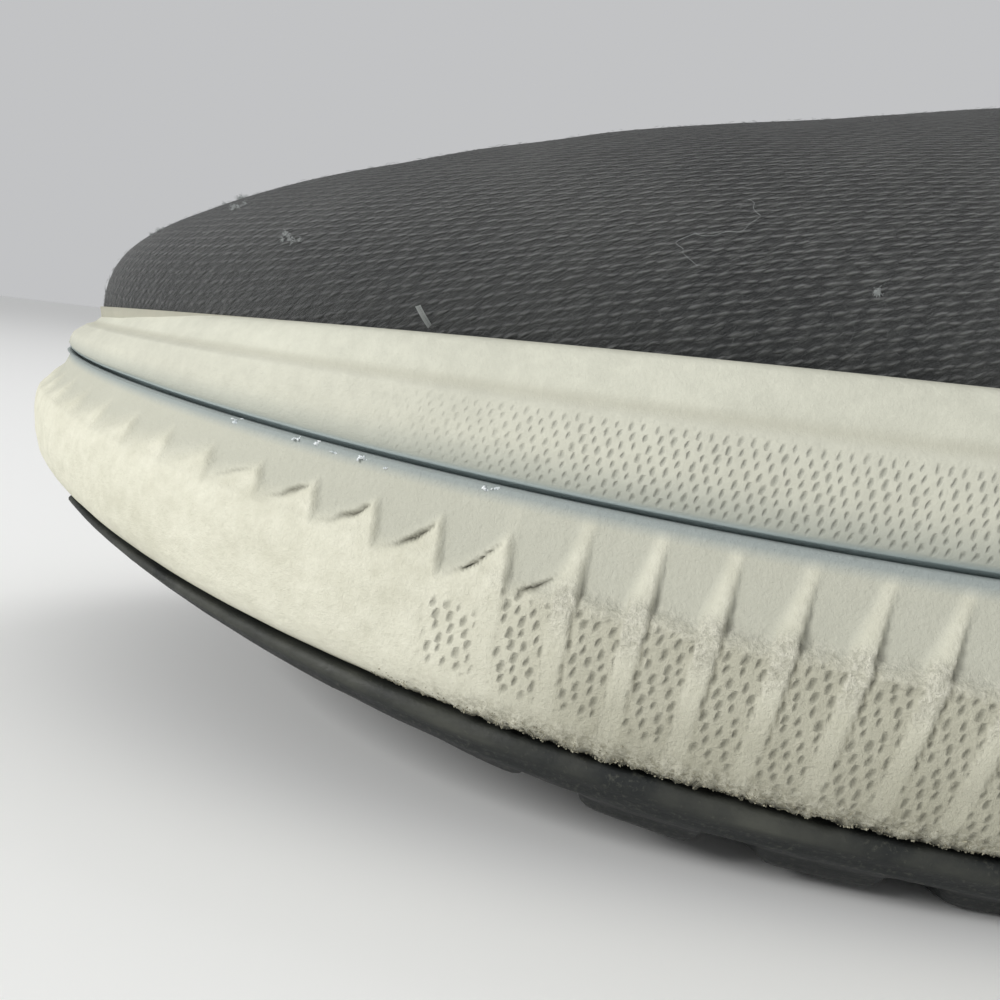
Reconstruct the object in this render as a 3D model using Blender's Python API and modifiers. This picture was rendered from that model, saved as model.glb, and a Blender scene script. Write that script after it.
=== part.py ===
"""Worn knit slip-on sneaker, left foot, standing on its sole.

Metres, +Z up. The toe points to -X and the outer (little toe) side to -Y.
The origin is at the centre of the footprint, on the floor.
Five solids: outsole, midsole, sidewall_cup, upper and insole.

Along the shoe, "reach" is the distance from the tip of the toe towards the heel.
Round the shoe, "share" is the part of the outline's length from the toe's tip,
past the outer side to the heel at 0.5, and back along the inner side to 1.
"""

import bmesh
import bpy
import numpy as np

# Driving dimensions
LENGTH = 0.295  # tip of the toe to the back of the heel, at the widest contour
BALL_REACH = 0.093  # where the toe spring starts
TOE_SPRING_POWER = 2.1
FLAT_SEAM = 0.0052  # height of the seam between rubber and foam where the sole is flat
SEAM_TOE_LIFT = 0.0143  # how far that seam rises at the toe's tip
GROOVE_HEIGHT = 0.0235  # dark groove between the two foams, at the ball
GROOVE_TOE_LIFT = 0.0066
RIM_HEIGHT = 0.0358  # top of the foam rim, at the ball
RIM_TOE_DROP = 0.0024
FOOTBED_HEIGHT = 0.0255  # foam under the insole, at the ball
FOOTBED_TOE_LIFT = 0.0060
GROOVE_HEEL_RISE = 0.0060  # rise of each line from the ball to the heel
RIM_HEEL_RISE = 0.0115
FOOTBED_HEEL_RISE = 0.0085
HEEL_BEVEL_REACH = 0.262  # where the back of the heel starts to curve up
HEEL_BEVEL = 0.0060
TOE_INSET_REACH = 0.030  # the foams lean back over this much of the toe
CUP_TOE_INSET = 0.0024
MIDSOLE_TOE_INSET = 0.0009
ARCH_LIFT = 0.0015  # the waist clears the floor by this

FIT_GAP = 0.0003  # between pieces that touch

# Widest contour of the sole seen from above, as (reach, offset to the inner side)
OUTLINE = (
    (0.000, 0.008),
    (0.004, -0.010),
    (0.014, -0.025),
    (0.034, -0.0395),
    (0.060, -0.049),
    (0.090, -0.055),
    (0.115, -0.057),
    (0.150, -0.054),
    (0.185, -0.048),
    (0.220, -0.043),
    (0.255, -0.039),
    (0.278, -0.030),
    (0.291, -0.014),
    (0.295, 0.002),
    (0.291, 0.016),
    (0.278, 0.031),
    (0.255, 0.0375),
    (0.220, 0.035),
    (0.185, 0.0335),
    (0.150, 0.0375),
    (0.115, 0.045),
    (0.085, 0.0485),
    (0.060, 0.0465),
    (0.034, 0.042),
    (0.014, 0.0345),
    (0.004, 0.024),
)
OUTLINE_SAMPLES = 2400

# Top edge of the collar, as (reach, offset to the inner side, height)
COLLAR = (
    (0.136, 0.001, 0.0985),
    (0.147, -0.0165, 0.0945),
    (0.170, -0.0285, 0.0875),
    (0.205, -0.0325, 0.0825),
    (0.240, -0.0305, 0.0855),
    (0.268, -0.0215, 0.0955),
    (0.2800, 0.001, 0.1015),
    (0.268, 0.0225, 0.0955),
    (0.240, 0.0300, 0.0860),
    (0.205, 0.0315, 0.0835),
    (0.170, 0.0285, 0.0885),
    (0.147, 0.0180, 0.0950),
)
COLLAR_CROWDING = 0.09  # draws the wall's lines together at the front of the collar

# Upper: a knit wall, drawn as one curve from the foot bed to the collar
WALL = 0.0024
CUFF_WALL = 0.0036
CUFF_STEP = 0.0007  # the cuff stands this far out from the knit
UPPER_INSET = 0.0068  # outer face of the wall, in from the widest contour
WALL_COLUMNS = 64
# Rows of the wall on the way from the foot bed, 0, to the collar, 1
WALL_ROWS = (0.0, 0.05, 0.11, 0.19, 0.29, 0.40, 0.52, 0.64, 0.76, 0.885)
CUFF_ROWS = (0.90, 0.955, 1.0)

# Handles of the wall's curve at the toe, the vamp, the ball, the waist and the heel
HANDLE_SHARES = (0.0, 0.06, 0.13, 0.29, 0.5)
LOW_HANDLE_UP = (0.028, 0.036, 0.0435, 0.032, 0.028)
LOW_HANDLE_OUT = (0.008, 0.0035, -0.0005, 0.003, 0.0055)
HIGH_HANDLE_DOWN = (0.061, 0.053, 0.0445, 0.021, 0.020)
HIGH_HANDLE_OUT = (0.0405, 0.025, 0.0115, 0.006, 0.0015)

# Midsole ribs
RIBS = 138
RIB_PHASE = 0.92  # of a rib's pitch, from the toe's tip to the first crest
RIB_SLANT = 0.32  # the foot of a rib lies this much nearer the toe per metre of height
RIB_SLANT_FADE = (0.08, 0.16)  # shares from the toe or the heel where the slant comes in

# Outsole tread: bent bars across the sole with a lengthwise channel
RUBBER = 0.0032
RUBBER_TIP = 0.0012  # thickness where it ends at the toe
RUBBER_FULL_REACH = 0.055
LUG_DEPTH = 0.0020
LUG_START = 0.022
LUG_FULL_REACH = 0.060  # the toe's bars wear away to nothing
LUG_END = 0.283
LUG_PITCH = 0.0125
LUG_GAP = 0.0032
LUG_CHAMFER = 0.0007
LUG_BEND = 0.004  # how far the middle of a bar lies nearer the toe
LUG_INSET = 0.0064  # ends of the bars, in from the widest contour
RUBBER_INSET = 0.0024
CHANNEL_HALF = 0.0035
TOE_REACHES = (0.0045, 0.0065, 0.010, 0.0155)
HEEL_REACHES = (0.287, 0.2905)

LAYER_EDGE = -0.0062  # the hidden joint between the foams starts here, in from the side

INSOLE = 0.0040
INSOLE_CLEARANCE = 0.0008


def closed_spline(points, samples):
    """Smooth closed curve through the points, sampled evenly by length."""
    points = np.array(points, float)
    count = len(points)
    chords = np.linalg.norm(np.roll(points, -1, 0) - points, axis=1)
    before = np.roll(chords, 1)
    matrix = np.zeros((count, count))
    right = np.zeros_like(points)
    for i in range(count):
        ahead = (i + 1) % count
        matrix[i, i - 1] += chords[i]
        matrix[i, i] += 2 * (chords[i] + before[i])
        matrix[i, ahead] += before[i]
        step_on = (points[ahead] - points[i]) / chords[i]
        step_back = (points[i] - points[i - 1]) / before[i]
        right[i] = 3 * (before[i] * step_on + chords[i] * step_back)
    slopes = np.linalg.solve(matrix, right)
    dense = []
    per_span = 60
    for i in range(count):
        ahead = (i + 1) % count
        t = np.linspace(0, 1, per_span, endpoint=False)[:, None]
        dense.append(
            (2 * t**3 - 3 * t**2 + 1) * points[i]
            + (t**3 - 2 * t**2 + t) * chords[i] * slopes[i]
            + (3 * t**2 - 2 * t**3) * points[ahead]
            + (t**3 - t**2) * chords[i] * slopes[ahead]
        )
    dense = np.vstack([*dense, points[:1]])
    lengths = np.r_[0, np.cumsum(np.linalg.norm(np.diff(dense, axis=0), axis=1))]
    wanted = np.linspace(0, lengths[-1], samples, endpoint=False)
    return np.column_stack([np.interp(wanted, lengths, c) for c in dense.T])


class Ring:
    """A closed curve that is read by share."""

    def __init__(self, points):
        self.points = closed_spline(points, OUTLINE_SAMPLES)
        step = np.roll(self.points, -1, 0) - np.roll(self.points, 1, 0)
        plan = step[:, :2] / np.linalg.norm(step[:, :2], axis=1)[:, None]
        self.outward = np.column_stack([plan[:, 1], -plan[:, 0]])
        closed = np.linalg.norm(np.roll(self.points, -1, 0) - self.points, axis=1)
        self.length = closed.sum()

    def read(self, table, share):
        place = np.mod(share, 1.0) * OUTLINE_SAMPLES
        low = np.floor(place).astype(int) % OUTLINE_SAMPLES
        part = (place - np.floor(place))[..., None]
        return table[low] * (1 - part) + table[(low + 1) % OUTLINE_SAMPLES] * part

    def at(self, share):
        return self.read(self.points, np.asarray(share, float))

    def out(self, share):
        vector = self.read(self.outward, np.asarray(share, float))
        return vector / np.linalg.norm(vector, axis=-1, keepdims=True)


SOLE_RING = Ring(OUTLINE)
COLLAR_RING = Ring(COLLAR)
SOLE_MIDDLE = (SOLE_RING.points.max(0) + SOLE_RING.points.min(0)) / 2
SOLE_MIDDLE[0] += MIDSOLE_TOE_INSET / 2  # the toe is that much shorter than its contour


def to_world(reach, across, height):
    """From reach, offset and height to the shoe's frame, centred on its footprint."""
    return np.column_stack([reach - SOLE_MIDDLE[0], across - SOLE_MIDDLE[1], height])


def smooth_step(value, start, end):
    t = np.clip((np.asarray(value, float) - start) / (end - start), 0, 1)
    return t * t * (3 - 2 * t)


def toe_spring(reach):
    """0 behind the ball, 1 at the tip of the toe."""
    short = np.clip((BALL_REACH - np.asarray(reach, float)) / BALL_REACH, 0, None)
    return short**TOE_SPRING_POWER


def heel_bevel(reach):
    back = np.clip(np.asarray(reach, float) - HEEL_BEVEL_REACH, 0, None)
    return HEEL_BEVEL * (back / (LENGTH - HEEL_BEVEL_REACH)) ** 2


def arch(reach):
    rise = smooth_step(reach, 0.125, 0.155)
    fall = smooth_step(reach, 0.185, 0.215)
    return ARCH_LIFT * (rise - fall)


def seam_height(reach):
    """Seam between the rubber and the lower foam."""
    lift = SEAM_TOE_LIFT * toe_spring(reach)
    return FLAT_SEAM + lift + heel_bevel(reach) + arch(reach)


def groove_height(reach):
    lift = GROOVE_TOE_LIFT * toe_spring(reach)
    return GROOVE_HEIGHT + lift + GROOVE_HEEL_RISE * smooth_step(reach, 0.09, 0.25)


def rim_height(reach):
    drop = RIM_TOE_DROP * toe_spring(reach)
    return RIM_HEIGHT - drop + RIM_HEEL_RISE * smooth_step(reach, 0.10, 0.285)


def footbed_height(reach):
    lift = FOOTBED_TOE_LIFT * toe_spring(reach)
    return FOOTBED_HEIGHT + lift + FOOTBED_HEEL_RISE * smooth_step(reach, 0.09, 0.24)


def layer_height(reach):
    """Hidden joint between the two foams, under the foot bed."""
    return np.minimum(groove_height(reach) - 0.0008, footbed_height(reach) - 0.0040)


def ring_shares(count, crowding=0.35):
    """Shares for count columns, closer together round the toe and the heel."""
    even = np.arange(count) / count
    return even - crowding * np.sin(4 * np.pi * even) / (4 * np.pi)


def ring_points(shares, offset, height_of, toe_inset=0.0):
    """A ring at an offset from the widest contour, at heights that follow the reach."""
    near_toe = 1 - smooth_step(SOLE_RING.at(shares)[:, 0], 0, TOE_INSET_REACH)
    offset = np.broadcast_to(offset, near_toe.shape) - toe_inset * near_toe
    plan = SOLE_RING.at(shares) + SOLE_RING.out(shares) * offset[:, None]
    return to_world(plan[:, 0], plan[:, 1], height_of(plan[:, 0]))


def loft(name, rings, capped, colour, roughness):
    """A solid through closed rings of equal count, in order from outside bottom up.

    Capped ends are closed by strips from side to side, so that they keep
    the lengthwise curve. Otherwise the surface is left open at both ends.
    """
    count = len(rings[0])
    shape = bmesh.new()
    loops = [[shape.verts.new(point) for point in ring] for ring in rings]
    for lower, higher in zip(loops[:-1], loops[1:]):
        for i in range(count):
            j = (i + 1) % count
            shape.faces.new((lower[i], lower[j], higher[j], higher[i]))
    if capped:
        close_with_strips(shape, loops[0], False)
        close_with_strips(shape, loops[-1], True)
    return finish_object(name, shape, colour, roughness)


def close_with_strips(shape, loop, facing_up):
    """Strips between the outer and the inner side of a ring that starts at the toe."""
    count = len(loop)
    for i in range(count // 2):
        face = [loop[i], loop[i + 1], loop[-(i + 1)], loop[-i]]
        corners = list(dict.fromkeys(face))
        shape.faces.new(corners if facing_up else corners[::-1])


def finish_object(name, shape, colour, roughness):
    mesh = bpy.data.meshes.new(name)
    shape.to_mesh(mesh)
    shape.free()
    mesh.shade_smooth()
    mesh.set_sharp_from_angle(angle=np.radians(40))
    made = bpy.data.objects.new(name, mesh)
    made.data.materials.append(plain_material(name, colour, roughness))
    return made


def plain_material(name, colour, roughness):
    material = bpy.data.materials.new(name)
    material.use_nodes = True
    shader = material.node_tree.nodes["Principled BSDF"]
    shader.inputs["Base Color"].default_value = (*colour, 1)
    shader.inputs["Roughness"].default_value = roughness
    shader.inputs["Metallic"].default_value = 0.0
    return material


def handle(values, shares):
    """A handle's size at each share: a smooth curve, level at the toe and the heel."""
    shares = 0.5 - np.abs(np.mod(shares, 1.0) - 0.5)
    starts, values = np.array(HANDLE_SHARES), np.array(values)
    slopes = np.zeros(len(starts))
    slopes[1:-1] = (values[2:] - values[:-2]) / (starts[2:] - starts[:-2])
    low = np.clip(np.searchsorted(starts, shares, "right") - 1, 0, len(starts) - 2)
    span = starts[low + 1] - starts[low]
    t = (shares - starts[low]) / span
    size = (2 * t**3 - 3 * t**2 + 1) * values[low] + (3 * t**2 - 2 * t**3) * values[low + 1]
    size += (t**3 - 2 * t**2 + t) * span * slopes[low]
    size += (t**3 - t**2) * span * slopes[low + 1]
    return size[:, None]


def wall_foot(shares):
    """Bottom edge of the upper's outer face, standing on the foot bed."""
    plan = SOLE_RING.at(shares) - SOLE_RING.out(shares) * UPPER_INSET
    height = footbed_height(plan[:, 0]) + FIT_GAP
    return np.column_stack([plan, height])


def collar_shares(shares):
    """Where the wall's lines from the foot bed arrive at the collar."""
    return shares - COLLAR_CROWDING * np.sin(2 * np.pi * shares)


def wall_points(shares, climb):
    """Outer face of the upper at a climb from 0, the foot bed, to 1, the collar."""
    foot, top = wall_foot(shares), COLLAR_RING.at(collar_shares(shares))
    foot_out, top_out = SOLE_RING.out(shares), COLLAR_RING.out(collar_shares(shares))
    low = foot.copy()
    low[:, :2] += foot_out * handle(LOW_HANDLE_OUT, shares)
    low[:, 2:] += handle(LOW_HANDLE_UP, shares)
    high = top.copy()
    high[:, :2] += top_out * handle(HIGH_HANDLE_OUT, shares)
    high[:, 2:] -= handle(HIGH_HANDLE_DOWN, shares)
    t = climb
    return (
        foot * (1 - t) ** 3
        + low * 3 * t * (1 - t) ** 2
        + high * 3 * t**2 * (1 - t)
        + top * t**3
    )


def wall_at_height(shares, height_of, clearance):
    """Ring round the upper's outer face at a height, kept clear of it."""
    low = np.zeros(len(shares))
    high = np.full(len(shares), 0.5)
    for _ in range(30):
        middle = (low + high) / 2
        point = wall_points(shares, middle[:, None])
        under = point[:, 2] < height_of(point[:, 0])
        low = np.where(under, middle, low)
        high = np.where(under, high, middle)
    point = wall_points(shares, low[:, None])
    plan = point[:, :2] + SOLE_RING.out(shares) * clearance
    return to_world(plan[:, 0], plan[:, 1], height_of(plan[:, 0]))


def make_upper():
    """Knit upper: one wall, open at the collar and over the foot bed."""
    shares = ring_shares(WALL_COLUMNS)
    rings = []
    for climb in WALL_ROWS:
        point = wall_points(shares, climb)
        rings.append(to_world(*point.T))
    for climb in CUFF_ROWS:
        point = wall_points(shares, climb)
        point[:, :2] += COLLAR_RING.out(collar_shares(shares)) * CUFF_STEP
        rings.append(to_world(*point.T))
    upper = loft("upper", rings, False, (0.045, 0.047, 0.048), 0.9)
    cuff = upper.vertex_groups.new(name="cuff")
    first = WALL_COLUMNS * len(WALL_ROWS)
    cuff.add(list(range(first, len(upper.data.vertices))), 1.0, "REPLACE")
    wall = upper.modifiers.new("wall", "SOLIDIFY")
    wall.thickness = CUFF_WALL
    wall.offset = -1
    wall.use_even_offset = True
    wall.vertex_group = "cuff"
    wall.thickness_vertex_group = WALL / CUFF_WALL
    return upper


def make_sidewall_cup():
    """Upper foam: smooth rim over a dimpled band, dished inside for the upper."""
    shares = ring_shares(WALL_COLUMNS)

    def between(part):
        return lambda reach: groove_height(reach) * (1 - part) + rim_height(reach) * part

    def above_groove(rise):
        return lambda reach: groove_height(reach) + rise

    def outside(offset, height_of, leaning=1.0):
        toe_inset = MIDSOLE_TOE_INSET + (CUP_TOE_INSET - MIDSOLE_TOE_INSET) * leaning
        return ring_points(shares, offset, height_of, toe_inset)

    rings = [
        outside(LAYER_EDGE, lambda reach: layer_height(reach) + FIT_GAP, 0.0),
        outside(-0.0048, above_groove(FIT_GAP), 0.0),
        outside(-0.0032, above_groove(0.0010), 0.0),
        outside(-0.0027, between(0.34), 0.4),
        outside(-0.0029, between(0.60), 0.8),
        outside(-0.0038, between(0.82)),
        outside(-0.0050, between(0.97)),
        wall_at_height(shares, rim_height, FIT_GAP),
        wall_at_height(shares, footbed_height, FIT_GAP),
    ]
    return loft("sidewall_cup", rings, True, (0.62, 0.60, 0.50), 0.75)


def make_midsole():
    """Lower foam: a cove with ribs over a fuller band that tucks under."""
    columns = np.arange(RIBS * 2)
    shares = (columns / 2 + RIB_PHASE) / RIBS
    ridge = (columns % 2 == 0).astype(float)
    from_heel = np.abs(np.mod(shares, 1.0) - 0.5)
    fade = smooth_step(0.5 - from_heel, *RIB_SLANT_FADE) * smooth_step(from_heel, *RIB_SLANT_FADE)
    to_toe = np.where(shares < 0.5, -1.0, 1.0) * fade * RIB_SLANT / SOLE_RING.length

    def band(part, hollow, crest):
        """A ring at a part of the way down from groove to seam."""
        reach = SOLE_RING.at(shares)[:, 0]
        drop = part * (groove_height(reach) - seam_height(reach))
        moved = shares + to_toe * drop
        offset = hollow + (crest - hollow) * ridge
        return ring_points(
            moved,
            offset,
            lambda reach: groove_height(reach) * (1 - part)
            + (seam_height(reach) + FIT_GAP) * part,
            MIDSOLE_TOE_INSET,
        )

    rings = [
        band(1.00, -0.0030, -0.0030),
        band(0.86, -0.0007, -0.0003),
        band(0.40, 0.0000, 0.0006),
        band(0.32, -0.0012, 0.0003),
        band(0.16, -0.0022, -0.0012),
        band(0.04, -0.0027, -0.0027),
        band(0.00, -0.0048, -0.0048),
        ring_points(shares, LAYER_EDGE, layer_height, MIDSOLE_TOE_INSET),
    ]
    return loft("midsole", rings, True, (0.60, 0.58, 0.47), 0.8)


def rubber_thickness(reach):
    return RUBBER_TIP + (RUBBER - RUBBER_TIP) * smooth_step(reach, 0, RUBBER_FULL_REACH)


def tread_stations():
    """Reaches across the sole, each with 1 where a bar is full and 0 in a gap."""
    stations = []
    start = LUG_START
    while start + LUG_PITCH - LUG_GAP < LUG_END:
        end = start + LUG_PITCH - LUG_GAP
        stations += [
            (start, 0.0),
            (start + LUG_CHAMFER, 1.0),
            (end - LUG_CHAMFER, 1.0),
            (end, 0.0),
        ]
        start += LUG_PITCH
    return stations


def share_at_reach(reach, inner_side):
    """Share of the widest contour at a reach, on the outer or the inner side."""
    half = np.linspace(0, 0.5, OUTLINE_SAMPLES // 2)
    side = (1 - half) if inner_side else half
    reaches = SOLE_RING.at(side)[:, 0]
    tip, heel = reaches.argmin(), reaches.argmax()
    return float(np.interp(reach, reaches[tip : heel + 1], side[tip : heel + 1]))


def make_outsole():
    """Rubber tread: a thin sheet that follows the toe spring, with bent bars below."""
    rows = [(reach, 0.0) for reach in TOE_REACHES] + tread_stations()
    rows += [(reach, 0.0) for reach in HEEL_REACHES]
    shape = bmesh.new()
    loops = []
    for reach, full in rows:
        points = cross_section(reach, full)
        loops.append([shape.verts.new(point) for point in points])
    for before, after in zip(loops[:-1], loops[1:]):
        for i in range(len(before)):
            j = (i + 1) % len(before)
            shape.faces.new((before[i], before[j], after[j], after[i]))
    shape.faces.new(loops[0][::-1])
    shape.faces.new(loops[-1])
    return finish_object("outsole", shape, (0.020, 0.021, 0.022), 0.7)


def cross_section(reach, full):
    """One section of the rubber: along its top from the inner side, back underneath."""
    outer = share_at_reach(reach, False)
    inner = share_at_reach(reach, True)
    outer_y, inner_y = SOLE_RING.at(outer)[1], SOLE_RING.at(inner)[1]
    middle, half_width = (outer_y + inner_y) / 2, (inner_y - outer_y) / 2
    channel = min(CHANNEL_HALF, half_width * 0.12)
    thick = rubber_thickness(reach)
    lug = LUG_DEPTH * full * smooth_step(reach, LUG_START - 0.004, LUG_FULL_REACH)

    def edge(share, inset):
        return SOLE_RING.at(share) - SOLE_RING.out(share) * inset

    # Each place with its depth as a part of the sheet's thickness and of the bar's
    side = (
        (RUBBER_INSET, 0.35, 0.0),
        (RUBBER_INSET + 0.0010, 1.0, 0.0),
        (LUG_INSET - LUG_CHAMFER, 1.0, 0.0),
        (LUG_INSET, 1.0, 1.0),
    )
    below = [(edge(outer, inset), depth, bar) for inset, depth, bar in side]
    for across, bar in ((-LUG_CHAMFER, 1.0), (0.0, 0.0)):
        below.append((np.array([reach, middle - channel + across]), 1.0, bar))
    for across, bar in ((0.0, 0.0), (LUG_CHAMFER, 1.0)):
        below.append((np.array([reach, middle + channel + across]), 1.0, bar))
    below += [(edge(inner, inset), depth, bar) for inset, depth, bar in side[::-1]]

    points = []
    for share in (inner, outer):
        place = edge(share, RUBBER_INSET + 0.0002)
        points.append((place[0], place[1], seam_height(place[0])))
    for place, depth, bar in below:
        off_middle = (place[1] - middle) / half_width
        bend = LUG_BEND * (1 - off_middle**2) * smooth_step(reach, 0.012, 0.05)
        x = place[0] - bend
        points.append((x, place[1], seam_height(x) - thick * depth - lug * bar))
    return to_world(*np.array(points).T)


def make_insole():
    """Foot bed: a foam sheet cut to the inside of the upper."""
    shares = ring_shares(WALL_COLUMNS)
    inset = -(UPPER_INSET + WALL + INSOLE_CLEARANCE)

    def raised(rise):
        return lambda reach: footbed_height(reach) + FIT_GAP + rise

    rings = [
        ring_points(shares, inset - 0.0004, raised(0.0)),
        ring_points(shares, inset, raised(0.0008)),
        ring_points(shares, inset, raised(INSOLE - 0.0009)),
        ring_points(shares, inset - 0.0012, raised(INSOLE)),
    ]
    return loft("insole", rings, True, (0.10, 0.10, 0.105), 0.9)


def clear_scene():
    for found in list(bpy.data.objects):
        bpy.data.objects.remove(found)


def main():
    clear_scene()
    sneaker = bpy.data.collections.new("worn_knit_sneaker")
    bpy.context.scene.collection.children.link(sneaker)
    makers = (make_outsole, make_midsole, make_sidewall_cup, make_upper, make_insole)
    for make in makers:
        sneaker.objects.link(make())


main()
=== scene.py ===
"""The looks of a worn knit slip-on sneaker, in the order in which it is put together.

Metres, +Z up. The toe points to -X and the outer side to -Y. A share is the part of the
outline's length from the toe's tip, past the outer side to the heel at 0.5, and back.
"""

import math

import bmesh
import bpy
import numpy as np
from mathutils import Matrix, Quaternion, Vector, noise


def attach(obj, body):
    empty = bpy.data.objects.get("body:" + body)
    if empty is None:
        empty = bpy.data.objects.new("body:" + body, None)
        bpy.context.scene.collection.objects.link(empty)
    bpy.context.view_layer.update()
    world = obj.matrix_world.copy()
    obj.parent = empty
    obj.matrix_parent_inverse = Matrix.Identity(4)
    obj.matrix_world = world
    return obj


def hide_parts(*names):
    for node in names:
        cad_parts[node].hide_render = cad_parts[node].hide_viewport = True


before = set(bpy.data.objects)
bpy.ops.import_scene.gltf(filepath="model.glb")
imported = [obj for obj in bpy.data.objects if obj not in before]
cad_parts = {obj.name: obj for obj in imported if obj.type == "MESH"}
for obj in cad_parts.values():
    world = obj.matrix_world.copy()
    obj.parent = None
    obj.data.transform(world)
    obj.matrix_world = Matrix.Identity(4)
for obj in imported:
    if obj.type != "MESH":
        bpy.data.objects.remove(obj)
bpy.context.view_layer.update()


# Outsole
# Black carbon-filled rubber, pressed hot into a thin sheet with bent bars and cemented
# under the foam. Walking has rounded its bars, and dust sits on the edge that shows.
MM = 0.001
OUTLINE = (
    (0.000, 0.008),
    (0.004, -0.010),
    (0.014, -0.025),
    (0.034, -0.0395),
    (0.060, -0.049),
    (0.090, -0.055),
    (0.115, -0.057),
    (0.150, -0.054),
    (0.185, -0.048),
    (0.220, -0.043),
    (0.255, -0.039),
    (0.278, -0.030),
    (0.291, -0.014),
    (0.295, 0.002),
    (0.291, 0.016),
    (0.278, 0.031),
    (0.255, 0.0375),
    (0.220, 0.035),
    (0.185, 0.0335),
    (0.150, 0.0375),
    (0.115, 0.045),
    (0.085, 0.0485),
    (0.060, 0.0465),
    (0.034, 0.042),
    (0.014, 0.0345),
    (0.004, 0.024),
)
OUTLINE_SAMPLES = 2400
LENGTH = 0.295
BALL_REACH = 0.093
# Height of the seam over the rubber, and what toe spring, heel bevel and arch add to it
SEAM, SEAM_SPRING, SEAM_BEVEL, SEAM_ARCH = 0.0052, 0.0143, 0.0060, 0.0015
BEVEL_START = 0.262
ARCH = (0.125, 0.155, 0.185, 0.215)  # reach where the arch starts, is full, fades and ends
FIT_GAP = 0.0003
RUBBER = 0.0032
RUBBER_TIP = 0.0012
RUBBER_FULL_REACH = 0.055
LUG_DEPTH = 0.0020
LUG_START, LUG_FULL_REACH, LUG_END = 0.022, 0.060, 0.283
LUG_PITCH, LUG_GAP = 0.0125, 0.0032
LUG_BEND = 0.004
CHANNEL_HALF = 0.0035
TOE_ROWS = (0.0045, 0.0050, 0.0058, 0.0068, 0.0082, 0.010, 0.0125, 0.0155, 0.0185)
HEEL_ROWS = (0.2855, 0.2875, 0.2890, 0.2900, 0.2905)
# Round edge of a bar: distance in from its end, and how far down it is there
BAR_ROUND = ((0.0, 0.0), (0.0003, 0.42), (0.0007, 0.78), (0.0012, 0.95), (0.0019, 1.0))
# Side of the rubber from its top edge down: inset, part of the sheet, part of the bar
RUBBER_SIDE = (
    (0.00265, 0.00, 0.0),
    (0.00240, 0.08, 0.0),
    (0.00225, 0.22, 0.0),
    (0.00225, 0.38, 0.0),
    (0.00245, 0.50, 0.0),
    (0.00285, 0.62, 0.0),
    (0.00320, 0.78, 0.0),
    (0.00370, 0.92, 0.0),
    (0.00450, 1.00, 0.05),
    (0.00530, 1.00, 0.30),
    (0.00590, 1.00, 0.70),
    (0.00660, 1.00, 0.93),
    (0.00760, 1.00, 1.0),
)
CHANNEL_SIDE = ((0.0, 0.0), (0.0002, 0.5), (0.0006, 0.85), (0.0012, 1.0))
BAR_COLUMNS = 18


def hermite(t, start, end, leaving, arriving):
    """Cubic from start to end, with the way it goes at each."""
    way = (t**3 - 2 * t**2 + t) * leaving + (t**3 - t**2) * arriving
    return (2 * t**3 - 3 * t**2 + 1) * start + (3 * t**2 - 2 * t**3) * end + way


def closed_spline(points, samples):
    """Smooth closed curve through the points, sampled evenly by length."""
    points = np.array(points, float)
    count = len(points)
    chords = np.linalg.norm(np.roll(points, -1, 0) - points, axis=1)
    before = np.roll(chords, 1)
    matrix = np.zeros((count, count))
    right = np.zeros_like(points)
    for i in range(count):
        ahead = (i + 1) % count
        matrix[i, i - 1] += chords[i]
        matrix[i, i] += 2 * (chords[i] + before[i])
        matrix[i, ahead] += before[i]
        step_on = (points[ahead] - points[i]) / chords[i]
        step_back = (points[i] - points[i - 1]) / before[i]
        right[i] = 3 * (before[i] * step_on + chords[i] * step_back)
    slopes = np.linalg.solve(matrix, right)
    t = np.linspace(0, 1, 60, endpoint=False)[:, None]
    dense = []
    for i in range(count):
        ahead = (i + 1) % count
        leaving, arriving = chords[i] * slopes[i], chords[i] * slopes[ahead]
        dense.append(hermite(t, points[i], points[ahead], leaving, arriving))
    dense = np.vstack([*dense, points[:1]])
    lengths = np.r_[0, np.cumsum(np.linalg.norm(np.diff(dense, axis=0), axis=1))]
    wanted = np.linspace(0, lengths[-1], samples, endpoint=False)
    return np.column_stack([np.interp(wanted, lengths, c) for c in dense.T])


class Ring:
    """A closed curve that is read by share."""

    def __init__(self, points):
        self.points = closed_spline(points, OUTLINE_SAMPLES)
        step = np.roll(self.points, -1, 0) - np.roll(self.points, 1, 0)
        plan = step[:, :2] / np.linalg.norm(step[:, :2], axis=1)[:, None]
        self.outward = np.column_stack([plan[:, 1], -plan[:, 0]])
        closed = np.linalg.norm(np.roll(self.points, -1, 0) - self.points, axis=1)
        self.length = closed.sum()

    def read(self, table, share):
        place = np.mod(share, 1.0) * OUTLINE_SAMPLES
        low = np.floor(place).astype(int) % OUTLINE_SAMPLES
        part = (place - np.floor(place))[..., None]
        return table[low] * (1 - part) + table[(low + 1) % OUTLINE_SAMPLES] * part

    def at(self, share):
        return self.read(self.points, np.asarray(share, float))

    def out(self, share):
        vector = self.read(self.outward, np.asarray(share, float))
        return vector / np.linalg.norm(vector, axis=-1, keepdims=True)


SOLE_RING = Ring(OUTLINE)
AROUND = SOLE_RING.length
MIDSOLE_TOE_INSET = 0.0009
SOLE_MIDDLE = (SOLE_RING.points.max(0) + SOLE_RING.points.min(0)) / 2
SOLE_MIDDLE[0] += MIDSOLE_TOE_INSET / 2


def to_world(reach, across, height):
    return np.column_stack([reach - SOLE_MIDDLE[0], across - SOLE_MIDDLE[1], height])


def smooth_step(value, start, end):
    t = np.clip((np.asarray(value, float) - start) / (end - start), 0, 1)
    return t * t * (3 - 2 * t)


def between(value, start, full, fading, end):
    """0 outside start and end, 1 from full to fading, smooth between."""
    return smooth_step(value, start, full) * (1 - smooth_step(value, fading, end))


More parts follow.
